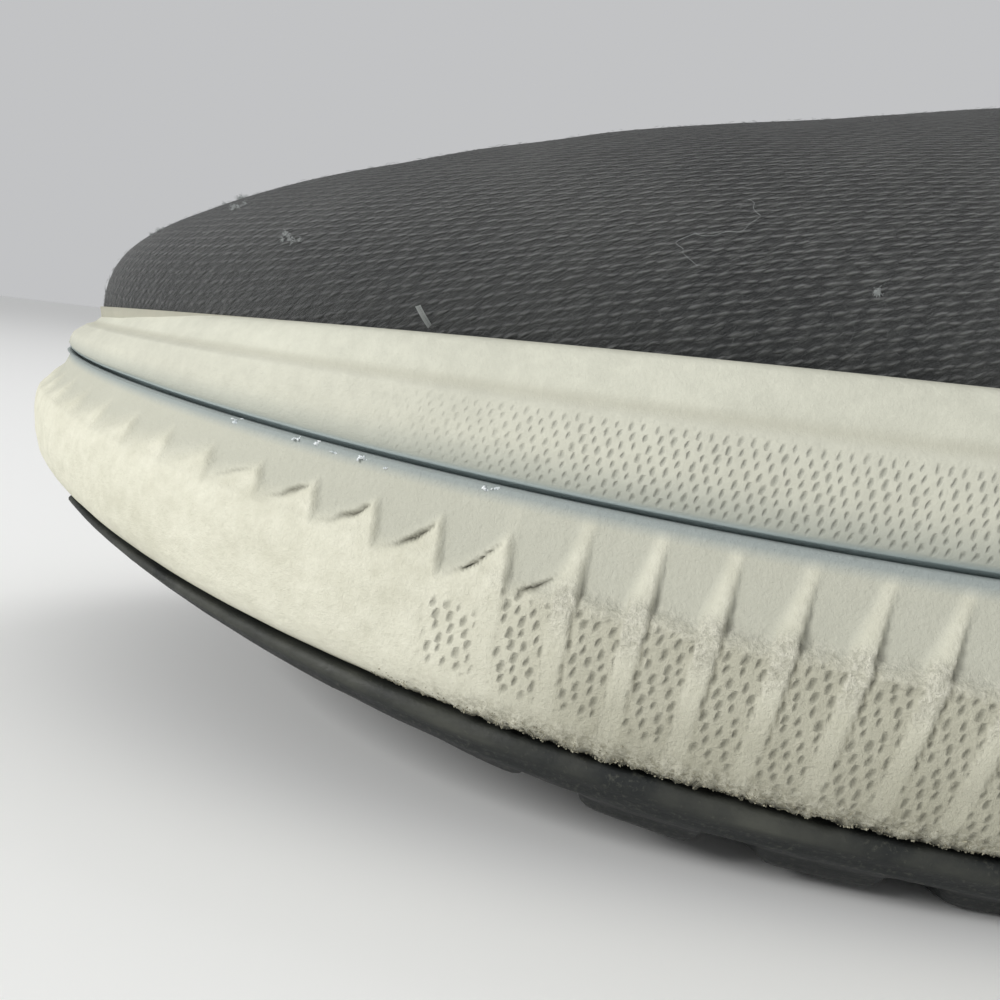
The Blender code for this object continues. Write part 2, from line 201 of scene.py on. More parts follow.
def bell(value, middle, width):
    return np.exp(-(((value - middle) / width) ** 2))


def toe_spring(reach):
    """0 behind the ball, 1 at the tip of the toe."""
    short = np.clip((BALL_REACH - np.asarray(reach, float)) / BALL_REACH, 0, None)
    return short**2.1


def seam_height(reach):
    """Seam between the rubber and the lower foam, with toe spring, arch and heel bevel."""
    back = np.clip(np.asarray(reach, float) - BEVEL_START, 0, None) / (LENGTH - BEVEL_START)
    sprung = SEAM + SEAM_SPRING * toe_spring(reach)
    return sprung + SEAM_BEVEL * back**2 + SEAM_ARCH * between(reach, *ARCH)


def grain(points, size, seed):
    """Soft random swell from -1 to 1 at each point, with lumps of the given size."""
    shift = Vector((seed * 3.7, seed * 1.9, seed * 5.3))
    return np.array([noise.noise(Vector(p) / size + shift) for p in points.tolist()])


def as_piece(name, built, mesh=None):
    """A piece with smooth shading from a finished bmesh, which it frees."""
    mesh = mesh or bpy.data.meshes.new(name)
    built.to_mesh(mesh)
    built.free()
    mesh.shade_smooth()
    piece = bpy.data.objects.new(name, mesh)
    bpy.context.scene.collection.objects.link(piece)
    return piece


def skin(name, columns, rows, place, closed_rows=False):
    """A piece from one grid bent round the shoe, its first and last columns merged.

    place takes each vertex's column and row value, and gives its point, its two texture
    sizes and a dictionary of further values that the material reads.
    """
    columns, rows = np.asarray(columns, float), np.asarray(rows, float)
    grid = bmesh.new()
    bmesh.ops.create_grid(grid, x_segments=len(columns) - 1, y_segments=len(rows) - 1, size=1)
    mesh = bpy.data.meshes.new(name)
    grid.to_mesh(mesh)
    grid.free()
    flat = np.empty(len(mesh.vertices) * 3, np.float32)
    mesh.vertices.foreach_get("co", flat)
    flat = flat.reshape(-1, 3)
    column = np.rint((flat[:, 0] + 1) / 2 * (len(columns) - 1)).astype(int)
    row = np.rint((flat[:, 1] + 1) / 2 * (len(rows) - 1)).astype(int)
    points, sizes, values = place(columns[column], rows[row])
    mesh.vertices.foreach_set("co", points.astype(np.float32).ravel())
    for key, value in values.items():
        layer = mesh.attributes.new(key, "FLOAT", "POINT")
        layer.data.foreach_set("value", np.broadcast_to(value, len(points)).astype(np.float32))
    corner = np.empty(len(mesh.loops), np.int32)
    mesh.loops.foreach_get("vertex_index", corner)
    uv = mesh.uv_layers.new(name="surface")
    uv.data.foreach_set("uv", sizes[corner].astype(np.float32).ravel())
    weld = bmesh.new()
    weld.from_mesh(mesh)
    weld.verts.ensure_lookup_table()
    edge = [column == 0, column == len(columns) - 1]
    if closed_rows:
        edge += [row == 0, row == len(rows) - 1]
    border = [weld.verts[i] for i in np.flatnonzero(np.any(edge, axis=0))]
    bmesh.ops.remove_doubles(weld, verts=border, dist=2e-6)
    if not closed_rows:
        rims = [e for e in weld.edges if e.is_boundary]
        bmesh.ops.triangle_fill(weld, use_beauty=True, use_dissolve=False, edges=rims)
    bmesh.ops.recalc_face_normals(weld, faces=weld.faces)
    return as_piece(name, weld, mesh)


def linear(code):
    """A colour from its sRGB hex value."""
    parts = [int(code[i : i + 2], 16) / 255 for i in (1, 3, 5)]
    return [p / 12.92 if p <= 0.04045 else ((p + 0.055) / 1.055) ** 2.4 for p in parts] + [1.0]


def finish(name):
    """An empty material with its surface shader, and its node tree."""
    material = bpy.data.materials.new(name)
    material.use_nodes = True
    return material, material.node_tree, material.node_tree.nodes["Principled BSDF"]


# The one setting that a node of each kind is given
SETTING = {
    "Math": "operation",
    "VectorMath": "operation",
    "Mix": "data_type",
    "MapRange": "interpolation_type",
    "Mapping": "vector_type",
    "TexVoronoi": "voronoi_dimensions",
    "Attribute": "attribute_name",
    "UVMap": "uv_map",
}


def feed(tree, node, **links):
    """Feeds a node's sockets, named by socket, or _0, _1 by number, with nodes or values."""
    for key, value in links.items():
        if key[0] == "_":
            socket = node.inputs[int(key[1:])]
        else:
            named = [i for i in node.inputs if i.name.replace(" ", "_") == key]
            socket = next(i for i in named if i.enabled)
        if isinstance(value, bpy.types.Node):
            value = next(o for o in value.outputs if o.enabled)
        if isinstance(value, bpy.types.NodeSocket):
            tree.links.new(value, socket)
        else:
            socket.default_value = linear(value) if isinstance(value, str) else value
    return node


def add(tree, kind, setting=None, **links):
    """Adds a node with its setting, and feeds its sockets."""
    made = tree.nodes.new("ShaderNode" + kind)
    if setting:
        setattr(made, SETTING[kind], setting)
    return feed(tree, made, **links)


def edge_points(reach, inner_side, inset):
    """Points of the outline at each reach, moved in by the inset."""
    half = np.linspace(0, 0.5, OUTLINE_SAMPLES // 2)
    side = (1 - half) if inner_side else half
    reaches = SOLE_RING.at(side)[:, 0]
    tip, heel = reaches.argmin(), reaches.argmax()
    share = np.interp(reach, reaches[tip : heel + 1], side[tip : heel + 1])
    tucked = inset + MIDSOLE_TOE_INSET * (1 - smooth_step(reach, 0, 0.030))
    return SOLE_RING.at(share) - SOLE_RING.out(share) * tucked[..., None]


def tread_rows():
    """Rows across the sole: reach, and how far down a bar stands there."""
    rows = [(reach, 0.0) for reach in TOE_ROWS]
    start = LUG_START
    while start + LUG_PITCH - LUG_GAP < LUG_END:
        end = start + LUG_PITCH - LUG_GAP
        rows += [(start + inset, part) for inset, part in BAR_ROUND]
        rows += [(start + span, 1.0) for span in (0.0033, 0.0047, 0.0060)]
        rows += [(end - inset, part) for inset, part in BAR_ROUND[::-1]]
        rows.append(((end + start + LUG_PITCH) / 2, 0.0))
        start += LUG_PITCH
    return rows + [(reach, 0.0) for reach in HEEL_ROWS]


def rubber_columns():
    """Round a section: side, distance, part of the sheet's and of the bar's depth."""
    spread = np.linspace(0, 1, BAR_COLUMNS)[1:-1]
    columns = [("top", part, 0.0, 0.0) for part in (0.25, 0.5, 0.75)]
    columns += [("outer", *place) for place in RUBBER_SIDE]
    columns += [("outer_bar", part, 1.0, 1.0) for part in spread]
    columns += [("outer_channel", *place) for place in
                [(-across, 1.0, bar) for across, bar in CHANNEL_SIDE[::-1]]]
    columns += [("inner_channel", across, 1.0, bar) for across, bar in CHANNEL_SIDE]
    columns += [("inner_bar", part, 1.0, 1.0) for part in spread[::-1]]
    columns += [("inner", *place) for place in RUBBER_SIDE[::-1]]
    return columns + columns[:1]


RUBBER_ROWS = tread_rows()
RUBBER_COLUMNS = rubber_columns()


def place_rubber(column, row):
    column, row = column.astype(int), row.astype(int)
    reach = np.array([r for r, _ in RUBBER_ROWS])
    full = np.array([f for _, f in RUBBER_ROWS])
    outer, inner = edge_points(reach, False, 0 * reach), edge_points(reach, True, 0 * reach)
    middle, half = (outer[:, 1] + inner[:, 1]) / 2, (inner[:, 1] - outer[:, 1]) / 2
    channel = np.minimum(CHANNEL_HALF, half * 0.12)
    thick = RUBBER_TIP + (RUBBER - RUBBER_TIP) * smooth_step(reach, 0, RUBBER_FULL_REACH)
    lug = LUG_DEPTH * full * smooth_step(reach, LUG_START - 0.004, LUG_FULL_REACH)
    table = np.zeros((len(RUBBER_COLUMNS), len(RUBBER_ROWS), 3))
    ends = {
        side: edge_points(reach, side == "inner", RUBBER_SIDE[-1][0] + 0 * reach)
        for side in ("outer", "inner")
    }
    for i, (side, amount, depth, bar) in enumerate(RUBBER_COLUMNS):
        if side in ("outer", "inner"):
            plan = edge_points(reach, side == "inner", amount + 0 * reach)
        elif side == "top":
            plan = np.column_stack([reach, inner[:, 1] + (outer[:, 1] - inner[:, 1]) * amount])
        elif side.endswith("channel"):
            way = -1 if side.startswith("outer") else 1
            plan = np.column_stack([reach, middle + way * channel + amount])
        else:
            which = side.split("_")[0]
            way = -1 if which == "outer" else 1
            target = np.column_stack([reach, middle + way * (channel + CHANNEL_SIDE[-1][0])])
            plan = ends[which] * (1 - amount) + target * amount
        off = (plan[:, 1] - middle) / half
        under = 0.0 if side == "top" else min(1.0, depth * 1.5)
        bend = LUG_BEND * (1 - off**2) * smooth_step(reach, 0.012, 0.05) * under
        x = plan[:, 0] - bend
        height = seam_height(x) - thick * depth - lug * bar
        table[i] = to_world(x, plan[:, 1], height)
    points = table[column, row]
    worn = grain(points, 2.2 * MM, 3) * 0.10 * MM + grain(points, 7 * MM, 4) * 0.12 * MM
    standing = points[:, 2] < 0.4 * MM
    points[:, 1] += worn * np.sign(points[:, 1])
    points[:, 2] += np.where(standing, np.abs(worn) * 0.3, worn)
    points[:, 2] = np.maximum(points[:, 2], 0.0)
    depths = np.array([c[2] * 0.6 + c[3] * 0.4 for c in RUBBER_COLUMNS])[column]
    spans = np.array([c[1] for c in RUBBER_COLUMNS])[column]
    sizes = np.column_stack([points[:, 0], spans])
    is_edge = np.array([c[0] in ("outer", "inner") for c in RUBBER_COLUMNS])[column]
    ledge = is_edge * (1 - smooth_step(depths, 0.24, 0.34))
    return points, sizes, {"dust": ledge, "tread": depths}


rubber_outsole = skin(
    "rubber_outsole",
    np.arange(len(RUBBER_COLUMNS)),
    np.arange(len(RUBBER_ROWS)),
    place_rubber,
)


def pressed_rubber():
    """Black rubber, pressed: a soft wide sheen, grey with dust where it has been rubbed."""
    material, tree, surface = finish("pressed_black_rubber")
    place = add(tree, "TexCoord").outputs["Object"]
    patches = add(tree, "TexNoise", Vector=place, Scale=140, Detail=5, Roughness=0.6)
    fine = add(tree, "TexNoise", Vector=place, Scale=2600, Detail=4, Roughness=0.65)
    flow = add(tree, "Mapping", Vector=place, Scale=(0.22, 1, 2.2))
    streak = add(tree, "TexNoise", Vector=flow, Scale=700, Detail=5, Roughness=0.65)
    dust = add(tree, "Attribute", "dust").outputs["Fac"]
    broken = add(tree, "MapRange", Value=patches, From_Min=0.36, From_Max=0.70, To_Max=0.6)
    laid = add(tree, "Math", "MULTIPLY", _0=dust, _1=broken)
    speck = add(tree, "MapRange", Value=fine, From_Min=0.54, From_Max=0.72, To_Max=0.60)
    amount = add(tree, "Math", "MAXIMUM", _0=laid, _1=speck)
    base = add(tree, "Mix", "RGBA", Factor=streak, A="#0F1213", B="#232726")
    colour = add(tree, "Mix", "RGBA", Factor=amount, A=base, B="#55564D")
    rough = add(tree, "MapRange", Value=streak, From_Min=0.3, From_Max=0.7, To_Min=0.46, To_Max=0.74)
    height = add(tree, "Math", "ADD", _0=streak, _1=fine)
    bump = add(tree, "Bump", Height=height, Strength=0.5, Distance=0.00012)
    feed(tree, surface, Base_Color=colour, Roughness=rough, IOR=1.52, Specular_IOR_Level=0.38,
         Normal=bump)
    return material


rubber_outsole.data.materials.append(pressed_rubber())
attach(rubber_outsole, "root")
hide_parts("outsole")


# Midsole
# Lower foam: cream EVA, expanded in a mould that gave it a smooth cove, slanted ribs and a
# dimpled band. At the toe it is scuffed smooth, and its ledge is torn open in short cracks.
RIBS = 138
RIB_PHASE = 0.92
RIB_PITCH = AROUND / RIBS
RIB_SLANT = 0.32
RIB_SLANT_FADE = (0.08, 0.16)
LAYER_EDGE = -0.0062
# Heights: at the ball, what toe spring adds, what the heel's end adds, and from where to where
GROOVE = (0.0235, 0.0066, 0.0060, 0.09, 0.25)
RIM = (0.0358, -0.0024, 0.0115, 0.10, 0.285)
FOOTBED = (0.0255, 0.0060, 0.0085, 0.09, 0.24)
# Level of the dimpled band and of the cove, out from the outline, by the part of the way down
BAND_DOWN = (0.0, 0.006, 0.016, 0.06, 0.10, 0.16, 0.24, 0.30, 0.36, 0.55, 0.72, 0.86, 0.93, 0.97, 1.0)
BAND_OUT = (-3.9, -3.2, -2.86, -2.68, -2.38, -1.85, -0.98, -0.42, -0.05, 0.05, -0.10, -0.50,
            -1.05, -1.8, -3.0)
COVE_DOWN = (0.0, 0.006, 0.016, 0.06, 0.10, 0.18, 0.26, 0.32, 0.38, 0.50, 1.0)
COVE_OUT = (-3.9, -3.2, -2.86, -2.70, -2.52, -2.12, -1.62, -1.22, -0.85, -0.7, -3.0)
GROOVE_OUT = -3.9  # millimetres: the floor of the groove
# Fine dirt packed in the groove: millimetres of it, by the distance from the toe's tip
GROOVE_FILL = ((0.012, 0.040, 0.070, 0.125), (1.00, 0.66, 0.52, 0.16))
LEDGE_DOWN = 0.37
WORN_OUTER = (0.066, 0.076)  # along the outline from the tip: the toe's scuffing ends here
WORN_INNER = (0.044, 0.058)
# Torn places of the ledge: along the outline, where each is widest, half height, and depth
TEARS = (
    (0.0462, 0.62, 0.12, 0.25),
    (0.0515, 0.70, 0.20, 0.60),
    (0.0565, 0.72, 0.20, 0.75),
    (0.0615, 0.70, 0.20, 0.85),
    (0.0668, 0.60, 0.13, 0.80),
    (0.0718, 0.46, 0.15, 0.75),
)
WORN_PATCH = (0.0640, 0.0684)  # dimples that the scuffing has left, along the outline
DIMPLES_FROM = 0.0692  # along the outline, where the band's whole dimples begin
STRIP = (-1.10, -0.94, 0.40, 0.55)  # a rib's flat top, in millimetres from its crest
FOAM_GRAINS = ((2.6, 11), (0.75, 12), (0.32, 13), (1.5, 14), (1.1, 15))  # millimetres, seed
NEAR_SIDE = (0.028, 0.112)  # the stretch that the camera sees from close by


def line_height(reach, level, spring, rise, start, end):
    return level + spring * toe_spring(reach) + rise * smooth_step(reach, start, end)


def groove_height(reach):
    return line_height(reach, *GROOVE)


def rim_height(reach):
    return line_height(reach, *RIM)


def footbed_height(reach):
    return line_height(reach, *FOOTBED)


def layer_height(reach):
    return np.minimum(groove_height(reach) - 0.0008, footbed_height(reach) - 0.0040)


def shares_with_near_side(near_step, far_step):
    """Columns round the shoe, closer together on the stretch in front of the camera."""
    near = np.arange(NEAR_SIDE[0], NEAR_SIDE[1], near_step)
    far = np.linspace(NEAR_SIDE[1], AROUND + NEAR_SIDE[0],
                      round((AROUND - NEAR_SIDE[1] + NEAR_SIDE[0]) / far_step) + 1)
    return np.r_[near, far] / AROUND


def side_distance(share):
    """Distance along the outline from the tip, on either side, and 1 on the outer side."""
    share = np.mod(share, 1.0)
    return AROUND * np.minimum(share, 1 - share), (share < 0.5).astype(float)


def sole_point(share, offset, height_of, toe_inset):
    near_toe = 1 - smooth_step(SOLE_RING.at(share)[:, 0], 0, 0.030)
    plan = SOLE_RING.at(share) + SOLE_RING.out(share) * (offset - toe_inset * near_toe)[:, None]
    return to_world(plan[:, 0], plan[:, 1], height_of(plan[:, 0]))


def with_joint(offset, row, filled):
    """The offset, but for rows below 0 that of the hidden joint, and how far in they are."""
    inner = np.clip(-row, 0, 1)
    foot = (GROOVE_OUT + filled) * MM
    return np.where(row < 0, foot + (LAYER_EDGE - foot) * inner, offset), inner


def ledge_cracks(slanted, turn, saw, outer, fall, centre):
    """The ledge's torn places, each a lens that runs up to the next crest."""
    crack = np.zeros(len(slanted))
    for start, widest, half, deep in TEARS:
        first = np.floor(start / RIB_PITCH - RIB_PHASE)
        here = outer * (np.abs(slanted - start) < RIB_PITCH) * (np.floor(turn) == first)
        swell = bell(saw, widest, 0.26) * between(saw, 0.12, 0.40, 0.88, 0.97)
        wide = half * (0.50 + 0.50 * swell) * MM
        crack = np.maximum(crack, bell(fall, centre, wide) * swell * here * deep)
    return crack


def dimples_left(down, slanted, along, outer, worn, ledge, coarse):
    """Where the band still has its dimples: past the scuffed toe, and in one patch on it."""
    start = DIMPLES_FROM + 0.0006 * coarse
    fresh = np.where(outer > 0, smooth_step(slanted, start, start + 0.6 * MM), 1 - worn)
    first, last = WORN_PATCH
    patch = between(slanted, first, first + 0.2 * MM, last - 0.3 * MM, last) * outer
    patch *= between(down, 0.50, 0.52, 0.78, 0.82)
    low_end = 0.82 + 0.12 * smooth_step(along, 0.074, 0.098) + 0.02 * coarse
    fresh *= 1 - smooth_step(down, low_end - 0.04, low_end + 0.03)
    return smooth_step(down, ledge + 0.015, ledge + 0.045) * np.maximum(fresh, 0.85 * patch)


def place_midsole(share, row):
    """Rows from -1, the hidden joint, over the groove's lip at 0, to the seam at 1."""
    down = np.clip(row, 0, 1)
    reach = SOLE_RING.at(share)[:, 0]
    wall = groove_height(reach) - seam_height(reach)
    fall = down * wall
    along, outer = side_distance(share)
    heelward = np.where(outer > 0, 1.0, -1.0)
    from_heel = np.abs(np.mod(share, 1.0) - 0.5)
    fade = smooth_step(0.5 - from_heel, *RIB_SLANT_FADE) * smooth_step(from_heel, *RIB_SLANT_FADE)
    slanted = np.mod(share, 1.0) * AROUND + heelward * fade * RIB_SLANT * fall
    turn = slanted / RIB_PITCH - RIB_PHASE
    right = (turn - np.round(turn)) * RIB_PITCH * heelward  # from the nearest crest
    saw = np.mod(right, RIB_PITCH) / RIB_PITCH  # part of the way from the last crest
    rough_place = np.column_stack([slanted, fall, 0 * fall])
    coarse, fine, tiny, broken, scabs = (
        grain(rough_place, size * MM, seed) for size, seed in FOAM_GRAINS
    )

    worn_outer = 1 - smooth_step(along, *WORN_OUTER)
    worn = np.where(outer > 0, worn_outer, 1 - smooth_step(along, *WORN_INNER))
    whole = 1 - worn

    # The moulded step from the cove to the band, with a crest at each rib
    band = np.interp(down, BAND_DOWN, BAND_OUT)
    cove = np.interp(down, COVE_DOWN, COVE_OUT)
    grown = smooth_step(down, 0.10, 0.36)
    crest = smooth_step(right, -(0.80 + 0.75 * grown) * MM, -(0.05 + 0.35 * grown) * MM)
    crest *= 0.72 - 0.72 * smooth_step(right, 0.34 * MM, 0.60 * MM)
    ledge = LEDGE_DOWN + 0.012 * coarse + 0.014 * fine
    new_step = smooth_step(down, ledge - 0.024, ledge + 0.024)
    new_band = 1 - (1 - crest) * (1 - new_step)

    # On the toe, a scalloped and rubbed step in its place
    near_tip = smooth_step(along, 0.030, 0.056)
    scoop = 0.30 + 0.11 * smooth_step(along, 0.046, 0.070)
    rise = np.clip((saw - 0.16) / 0.84, 0, 1) ** 1.45 + 1 - smooth_step(saw, -0.02, 0.16)
    torn = scoop - (scoop - 0.185) * rise + 0.008 * fine + 0.010 * coarse
    soft = 0.040 + 0.05 * (1 - near_tip) + 0.02 * (1 - rise)
    old_band = smooth_step(down, torn - soft, torn + soft)
    rubbed = 0.40 * bell(down, 0.30, 0.09) * worn
    level = new_band * whole + old_band * worn
    out = cove + (band - rubbed - cove) * level

    # Each rib's flat top, and the fine crease beside it
    strip = between(right, *(edge * MM for edge in STRIP))
    out += 0.10 * strip * between(down, 0.22, 0.36, 0.60, 0.84) * whole
    crease = bell(right, 0.64 * MM, 0.11 * MM) * between(down, 0.20, 0.34, 0.62, 0.84) * whole
    out -= 0.10 * crease
    crack = ledge_cracks(
        slanted, turn, saw, outer, fall, (torn + 0.010) * wall + 0.10 * MM * fine
    )
    out -= 0.75 * crack

    # Where scuffing or the seam's crumbling has worn the band
    crumbly = smooth_step(down, 0.84, 0.95) * outer * smooth_step(along, 0.058, 0.070)
    crumbly *= 1 - 0.65 * smooth_step(along, 0.098, 0.110)
    out += crumbly * (0.24 * fine + 0.20 * tiny + 0.14 * broken)
    out += smooth_step(down, 0.94, 0.99) * crumbly * (0.40 + 0.5 * fine + 0.45 * tiny)
    out += level * 0.05 * coarse + 0.015 * fine
    edge = bell(down, ledge, 0.04) * whole
    out += edge * (0.24 * fine + 0.08 * tiny) * (1 - crest)
    rough_crest = strip * between(down, 0.27, 0.36, 0.44, 0.58) * whole
    out += rough_crest * (0.20 * scabs + 0.05 * tiny)

    # Dirt and painted shade on the band past the toe: darker below the ledge, more towards the bottom,
    # less on the rib tops
    dirt_and_shade = smooth_step(along, 0.064, 0.078) * smooth_step(down, ledge - 0.02, ledge + 0.05)
    dirt_and_shade *= 1 - strip * (0.9 - 0.65 * smooth_step(down, 0.40, 0.75))
    values = {
        "dimples": dimples_left(down, slanted, along, outer, worn, ledge, coarse)
        * (1 - strip * (1 - 0.35 * worn)),
        # Painted shade in the ledge's cracks
        "crack": np.clip(crack * 1.2, 0, 1),
        # Painted shade in the recessed cove and its scoops
        "cove": (1 - level) * smooth_step(down, 0.0, 0.08),
        # Painted bluish-grey shade on the lip under the groove's overhang
        "lip": 1 - smooth_step(down, 0.02, 0.085),
        "crumble": crumbly,
        # Painted shade in the fine crease beside each rib
        "crease": crease,
        # Painted shade where the band turns under to the rubber
        "foot": smooth_step(down, 0.95, 1.0),
        "dirt_and_shade": dirt_and_shade * (0.75 + 0.25 * smooth_step(down, 0.5, 0.95)),
        # Pale scuffs with painted highlight on the rib tops, the ledge and the crumbling edge
        "scuff_and_highlight": np.clip(rough_crest + edge * 0.6 + crumbly * 0.5, 0, 1),
    }
    filled = np.interp(along, *GROOVE_FILL)
    out += filled * (1 - smooth_step(down, 0.0, 0.016))
    offset, inner = with_joint(out * MM, row, filled)

    def height(reach):
        above = groove_height(reach) * (1 - down) + (seam_height(reach) + FIT_GAP) * down
        return np.where(row < 0, above * (1 - inner) + layer_height(reach) * inner, above)

    points = sole_point(share, offset, height, MIDSOLE_TOE_INSET)
    return points, np.column_stack([share * AROUND, fall]), values


midsole_rows = np.r_[
    [-1.0, -0.5],
    [0.0, 0.002, 0.006, 0.010, 0.016, 0.03, 0.05, 0.08, 0.11],
    np.arange(0.135, 0.465, 0.0105),
    np.linspace(0.48, 0.90, 17),
    [0.92, 0.94, 0.955, 0.97, 0.985, 1.0],
]
foam_midsole = skin(
    "foam_midsole", shares_with_near_side(0.22 * MM, 0.62 * MM), midsole_rows, place_midsole
)


def lattice(tree, surface, along, down, shift, half_long, half_wide, lean, jitter):
    """Distance from the nearest mark of a slanted grid of marks, 1 at the mark's edge.

    Sizes are real ones: the pitch along and down, each row's shift, and the mark's half
    sizes, its long side leaning from upright by the angle lean.
    """
    across = add(tree, "VectorMath", "DOT_PRODUCT",
                 _0=surface, _1=(1 / along, -shift / down / along, 0)).outputs["Value"]
    fall = add(tree, "VectorMath", "DOT_PRODUCT",
               _0=surface, _1=(0, 1 / down, 0)).outputs["Value"]
    cell = add(tree, "CombineXYZ", X=across, Y=fall)
    nearest = add(tree, "TexVoronoi", "2D",
                  Vector=cell, Scale=1.0, Randomness=jitter)
    away = add(tree, "VectorMath", "SUBTRACT",
               _0=cell, _1=nearest.outputs["Position"])
    long_way = (-math.sin(lean), math.cos(lean))
    wide_way = (math.cos(lean), math.sin(lean))
    parts = []
    for way, half in ((long_way, half_long), (wide_way, half_wide)):
        vector = (along * way[0] / half, (shift * way[0] + down * way[1]) / half, 0)
        parts.append(add(tree, "VectorMath", "DOT_PRODUCT",
                         _0=away, _1=vector).outputs["Value"])
    pair = add(tree, "CombineXYZ", X=parts[0], Y=parts[1])
    return add(tree, "VectorMath", "LENGTH", _0=pair).outputs["Value"], nearest


def moulded_foam(name, light, shade, pitch, mark):
    """EVA foam, moulded and aged: matt, chalky, dull yellow-grey where dirt has got in."""
    material, tree, surface = finish(name)
    place = add(tree, "TexCoord").outputs["Object"]
    metres = add(tree, "UVMap", "surface").outputs["UV"]
    wobble = add(tree, "TexNoise", Vector=place, Scale=900, Detail=2)
    drift = add(tree, "VectorMath", "SCALE", _0=wobble.outputs["Color"], Scale=0.00030)
    bent = add(tree, "VectorMath", "ADD", _0=metres, _1=drift)
    distance, cell = lattice(tree, bent, *pitch, *mark)
    size = add(tree, "SeparateColor", Color=cell.outputs["Color"]).outputs[0]
    reach = add(tree, "MapRange", Value=size, To_Min=0.72, To_Max=1.15)
    scaled = add(tree, "Math", "DIVIDE", _0=distance, _1=reach)
    ragged = add(tree, "TexNoise", Vector=place, Scale=3200, Detail=4, Roughness=0.75)
    frayed = add(tree, "Math", "MULTIPLY_ADD", _0=ragged, _1=1.7, _2=scaled)
    pit = add(tree, "MapRange", "SMOOTHSTEP",
              Value=frayed, From_Min=0.90, From_Max=2.75, To_Min=1.0, To_Max=0.0)
    here = add(tree, "Attribute", "dimples").outputs["Fac"]
    dimple = add(tree, "Math", "MULTIPLY", _0=pit, _1=here)

    clouds = add(tree, "TexNoise", Vector=place, Scale=95, Detail=4, Roughness=0.55)
    mottle = add(tree, "TexNoise", Vector=place, Scale=750, Detail=5, Roughness=0.66)
    chalk = add(tree, "TexNoise", Vector=place, Scale=2500, Detail=4, Roughness=0.80)
    tone = add(tree, "Math", "ADD", _0=clouds, _1=mottle)
    spread = add(tree, "MapRange", Value=tone, From_Min=0.78, From_Max=1.24)
    base = add(tree, "Mix", "RGBA", Factor=spread, A=shade, B=light)
    return material, tree, surface, {
        "place": place, "dimple": dimple, "clouds": clouds, "mottle": mottle,
        "chalk": chalk, "base": base,
    }


def overlay(tree, colour, layers):
    """Layers mixed over a colour: attribute, how it breaks up, how much of it, its colour."""
    for name, broken, strength, code in layers:
        here = add(tree, "Attribute", name).outputs["Fac"]
        share = add(tree, "Math", "MULTIPLY", _0=here, _1=broken)
        share = add(tree, "Math", "MULTIPLY", _0=share, _1=strength)
        colour = add(tree, "Mix", "RGBA", Factor=share, A=colour, B=code)
    return colour


def midsole_foam():
    """The lower foam: skin rubbed to a soft bloom, with painted shade in the cove, lip, creases, cracks,
    dimples and foot, pale scuffs with painted highlight, and dull yellow-grey where it crumbles.
    """
    material, tree, surface, part = moulded_foam(
        "aged_eva_foam_lower", "#E2E0CE", "#D1CFBC",
        (AROUND / 670, 0.82 * MM, 0.22 * MM), (0.33 * MM, 0.14 * MM, 0.34, 0.30),
    )
    pale_spots = add(tree, "MapRange", Value=part["chalk"], From_Min=0.42, From_Max=0.60)
    blotches = add(tree, "MapRange", Value=part["mottle"], From_Min=0.30, From_Max=0.70, To_Min=0.55)
    gaps = add(tree, "MapRange", Value=part["chalk"], From_Min=0.56, From_Max=0.40)
    colour = overlay(tree, part["base"], (
        # Painted shade in the recessed cove
        ("cove", 1.0, 0.84, "#BBBBAD"),
        # Painted bluish-grey shade on the lip under the groove's overhang
        ("lip", 1.0, 0.92, "#949D9D"),
        # Dirt and painted shade past the toe, in blotches
        ("dirt_and_shade", blotches, 0.80, "#A3A08C"),
        # Pale scuffs with painted highlight where the crests and the ledge catch the light
        ("scuff_and_highlight", pale_spots, 0.80, "#ECE9D8"),
        ("scuff_and_highlight", gaps, 0.16, "#8F8B78"),
        ("crumble", gaps, 0.45, "#8A8570"),
        # Painted shade in the fine crease beside each rib
        ("crease", 1.0, 0.50, "#6E6A58"),
        # Painted shade in the ledge's cracks
        ("crack", 1.0, 0.95, "#4C4A3C"),
        # Painted shade where the band turns under to the rubber
        ("foot", 1.0, 0.90, "#3A3A33"),
    ))
    # Painted shade in the pit of each dimple
    pitted = add(tree, "Math", "MULTIPLY", _0=part["dimple"], _1=0.62)
    colour = add(tree, "Mix", "RGBA", Factor=pitted, A=colour, B="#6E6D5F")
    dirt_and_shade = add(tree, "Attribute", "dirt_and_shade").outputs["Fac"]
    scuff_and_highlight = add(tree, "Attribute", "scuff_and_highlight").outputs["Fac"]
    aged = add(tree, "Math", "MULTIPLY_ADD", _0=dirt_and_shade, _1=0.55, _2=scuff_and_highlight)
    rougher = add(tree, "MapRange", Value=aged, To_Min=0.70, To_Max=2.1)
    grit = add(tree, "Math", "MULTIPLY", _0=part["chalk"], _1=rougher)
    lumpy = add(tree, "MapRange", Value=aged, To_Min=0.30, To_Max=1.4)
    lumps = add(tree, "Math", "MULTIPLY", _0=part["mottle"], _1=lumpy)
    raised = add(tree, "Math", "ADD", _0=grit, _1=lumps)
    height = add(tree, "Math", "SUBTRACT", _0=raised, _1=part["dimple"])
    bump = add(tree, "Bump", Height=height, Strength=1.0, Distance=0.00020)
    feed(tree, surface, Base_Color=colour, Roughness=0.82, IOR=1.45, Specular_IOR_Level=0.35,
         Normal=bump)
    return material


foam_midsole.data.materials.append(midsole_foam())
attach(foam_midsole, "root")
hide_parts("midsole")


# Sidewall cup
# Upper foam, a denser cream EVA: a smooth rim that leans in to the knit, over a band of fine
# slanted dimples. It is moulded as a dish, and the upper is glued down inside it.
CUP_TOE_INSET = 0.0024
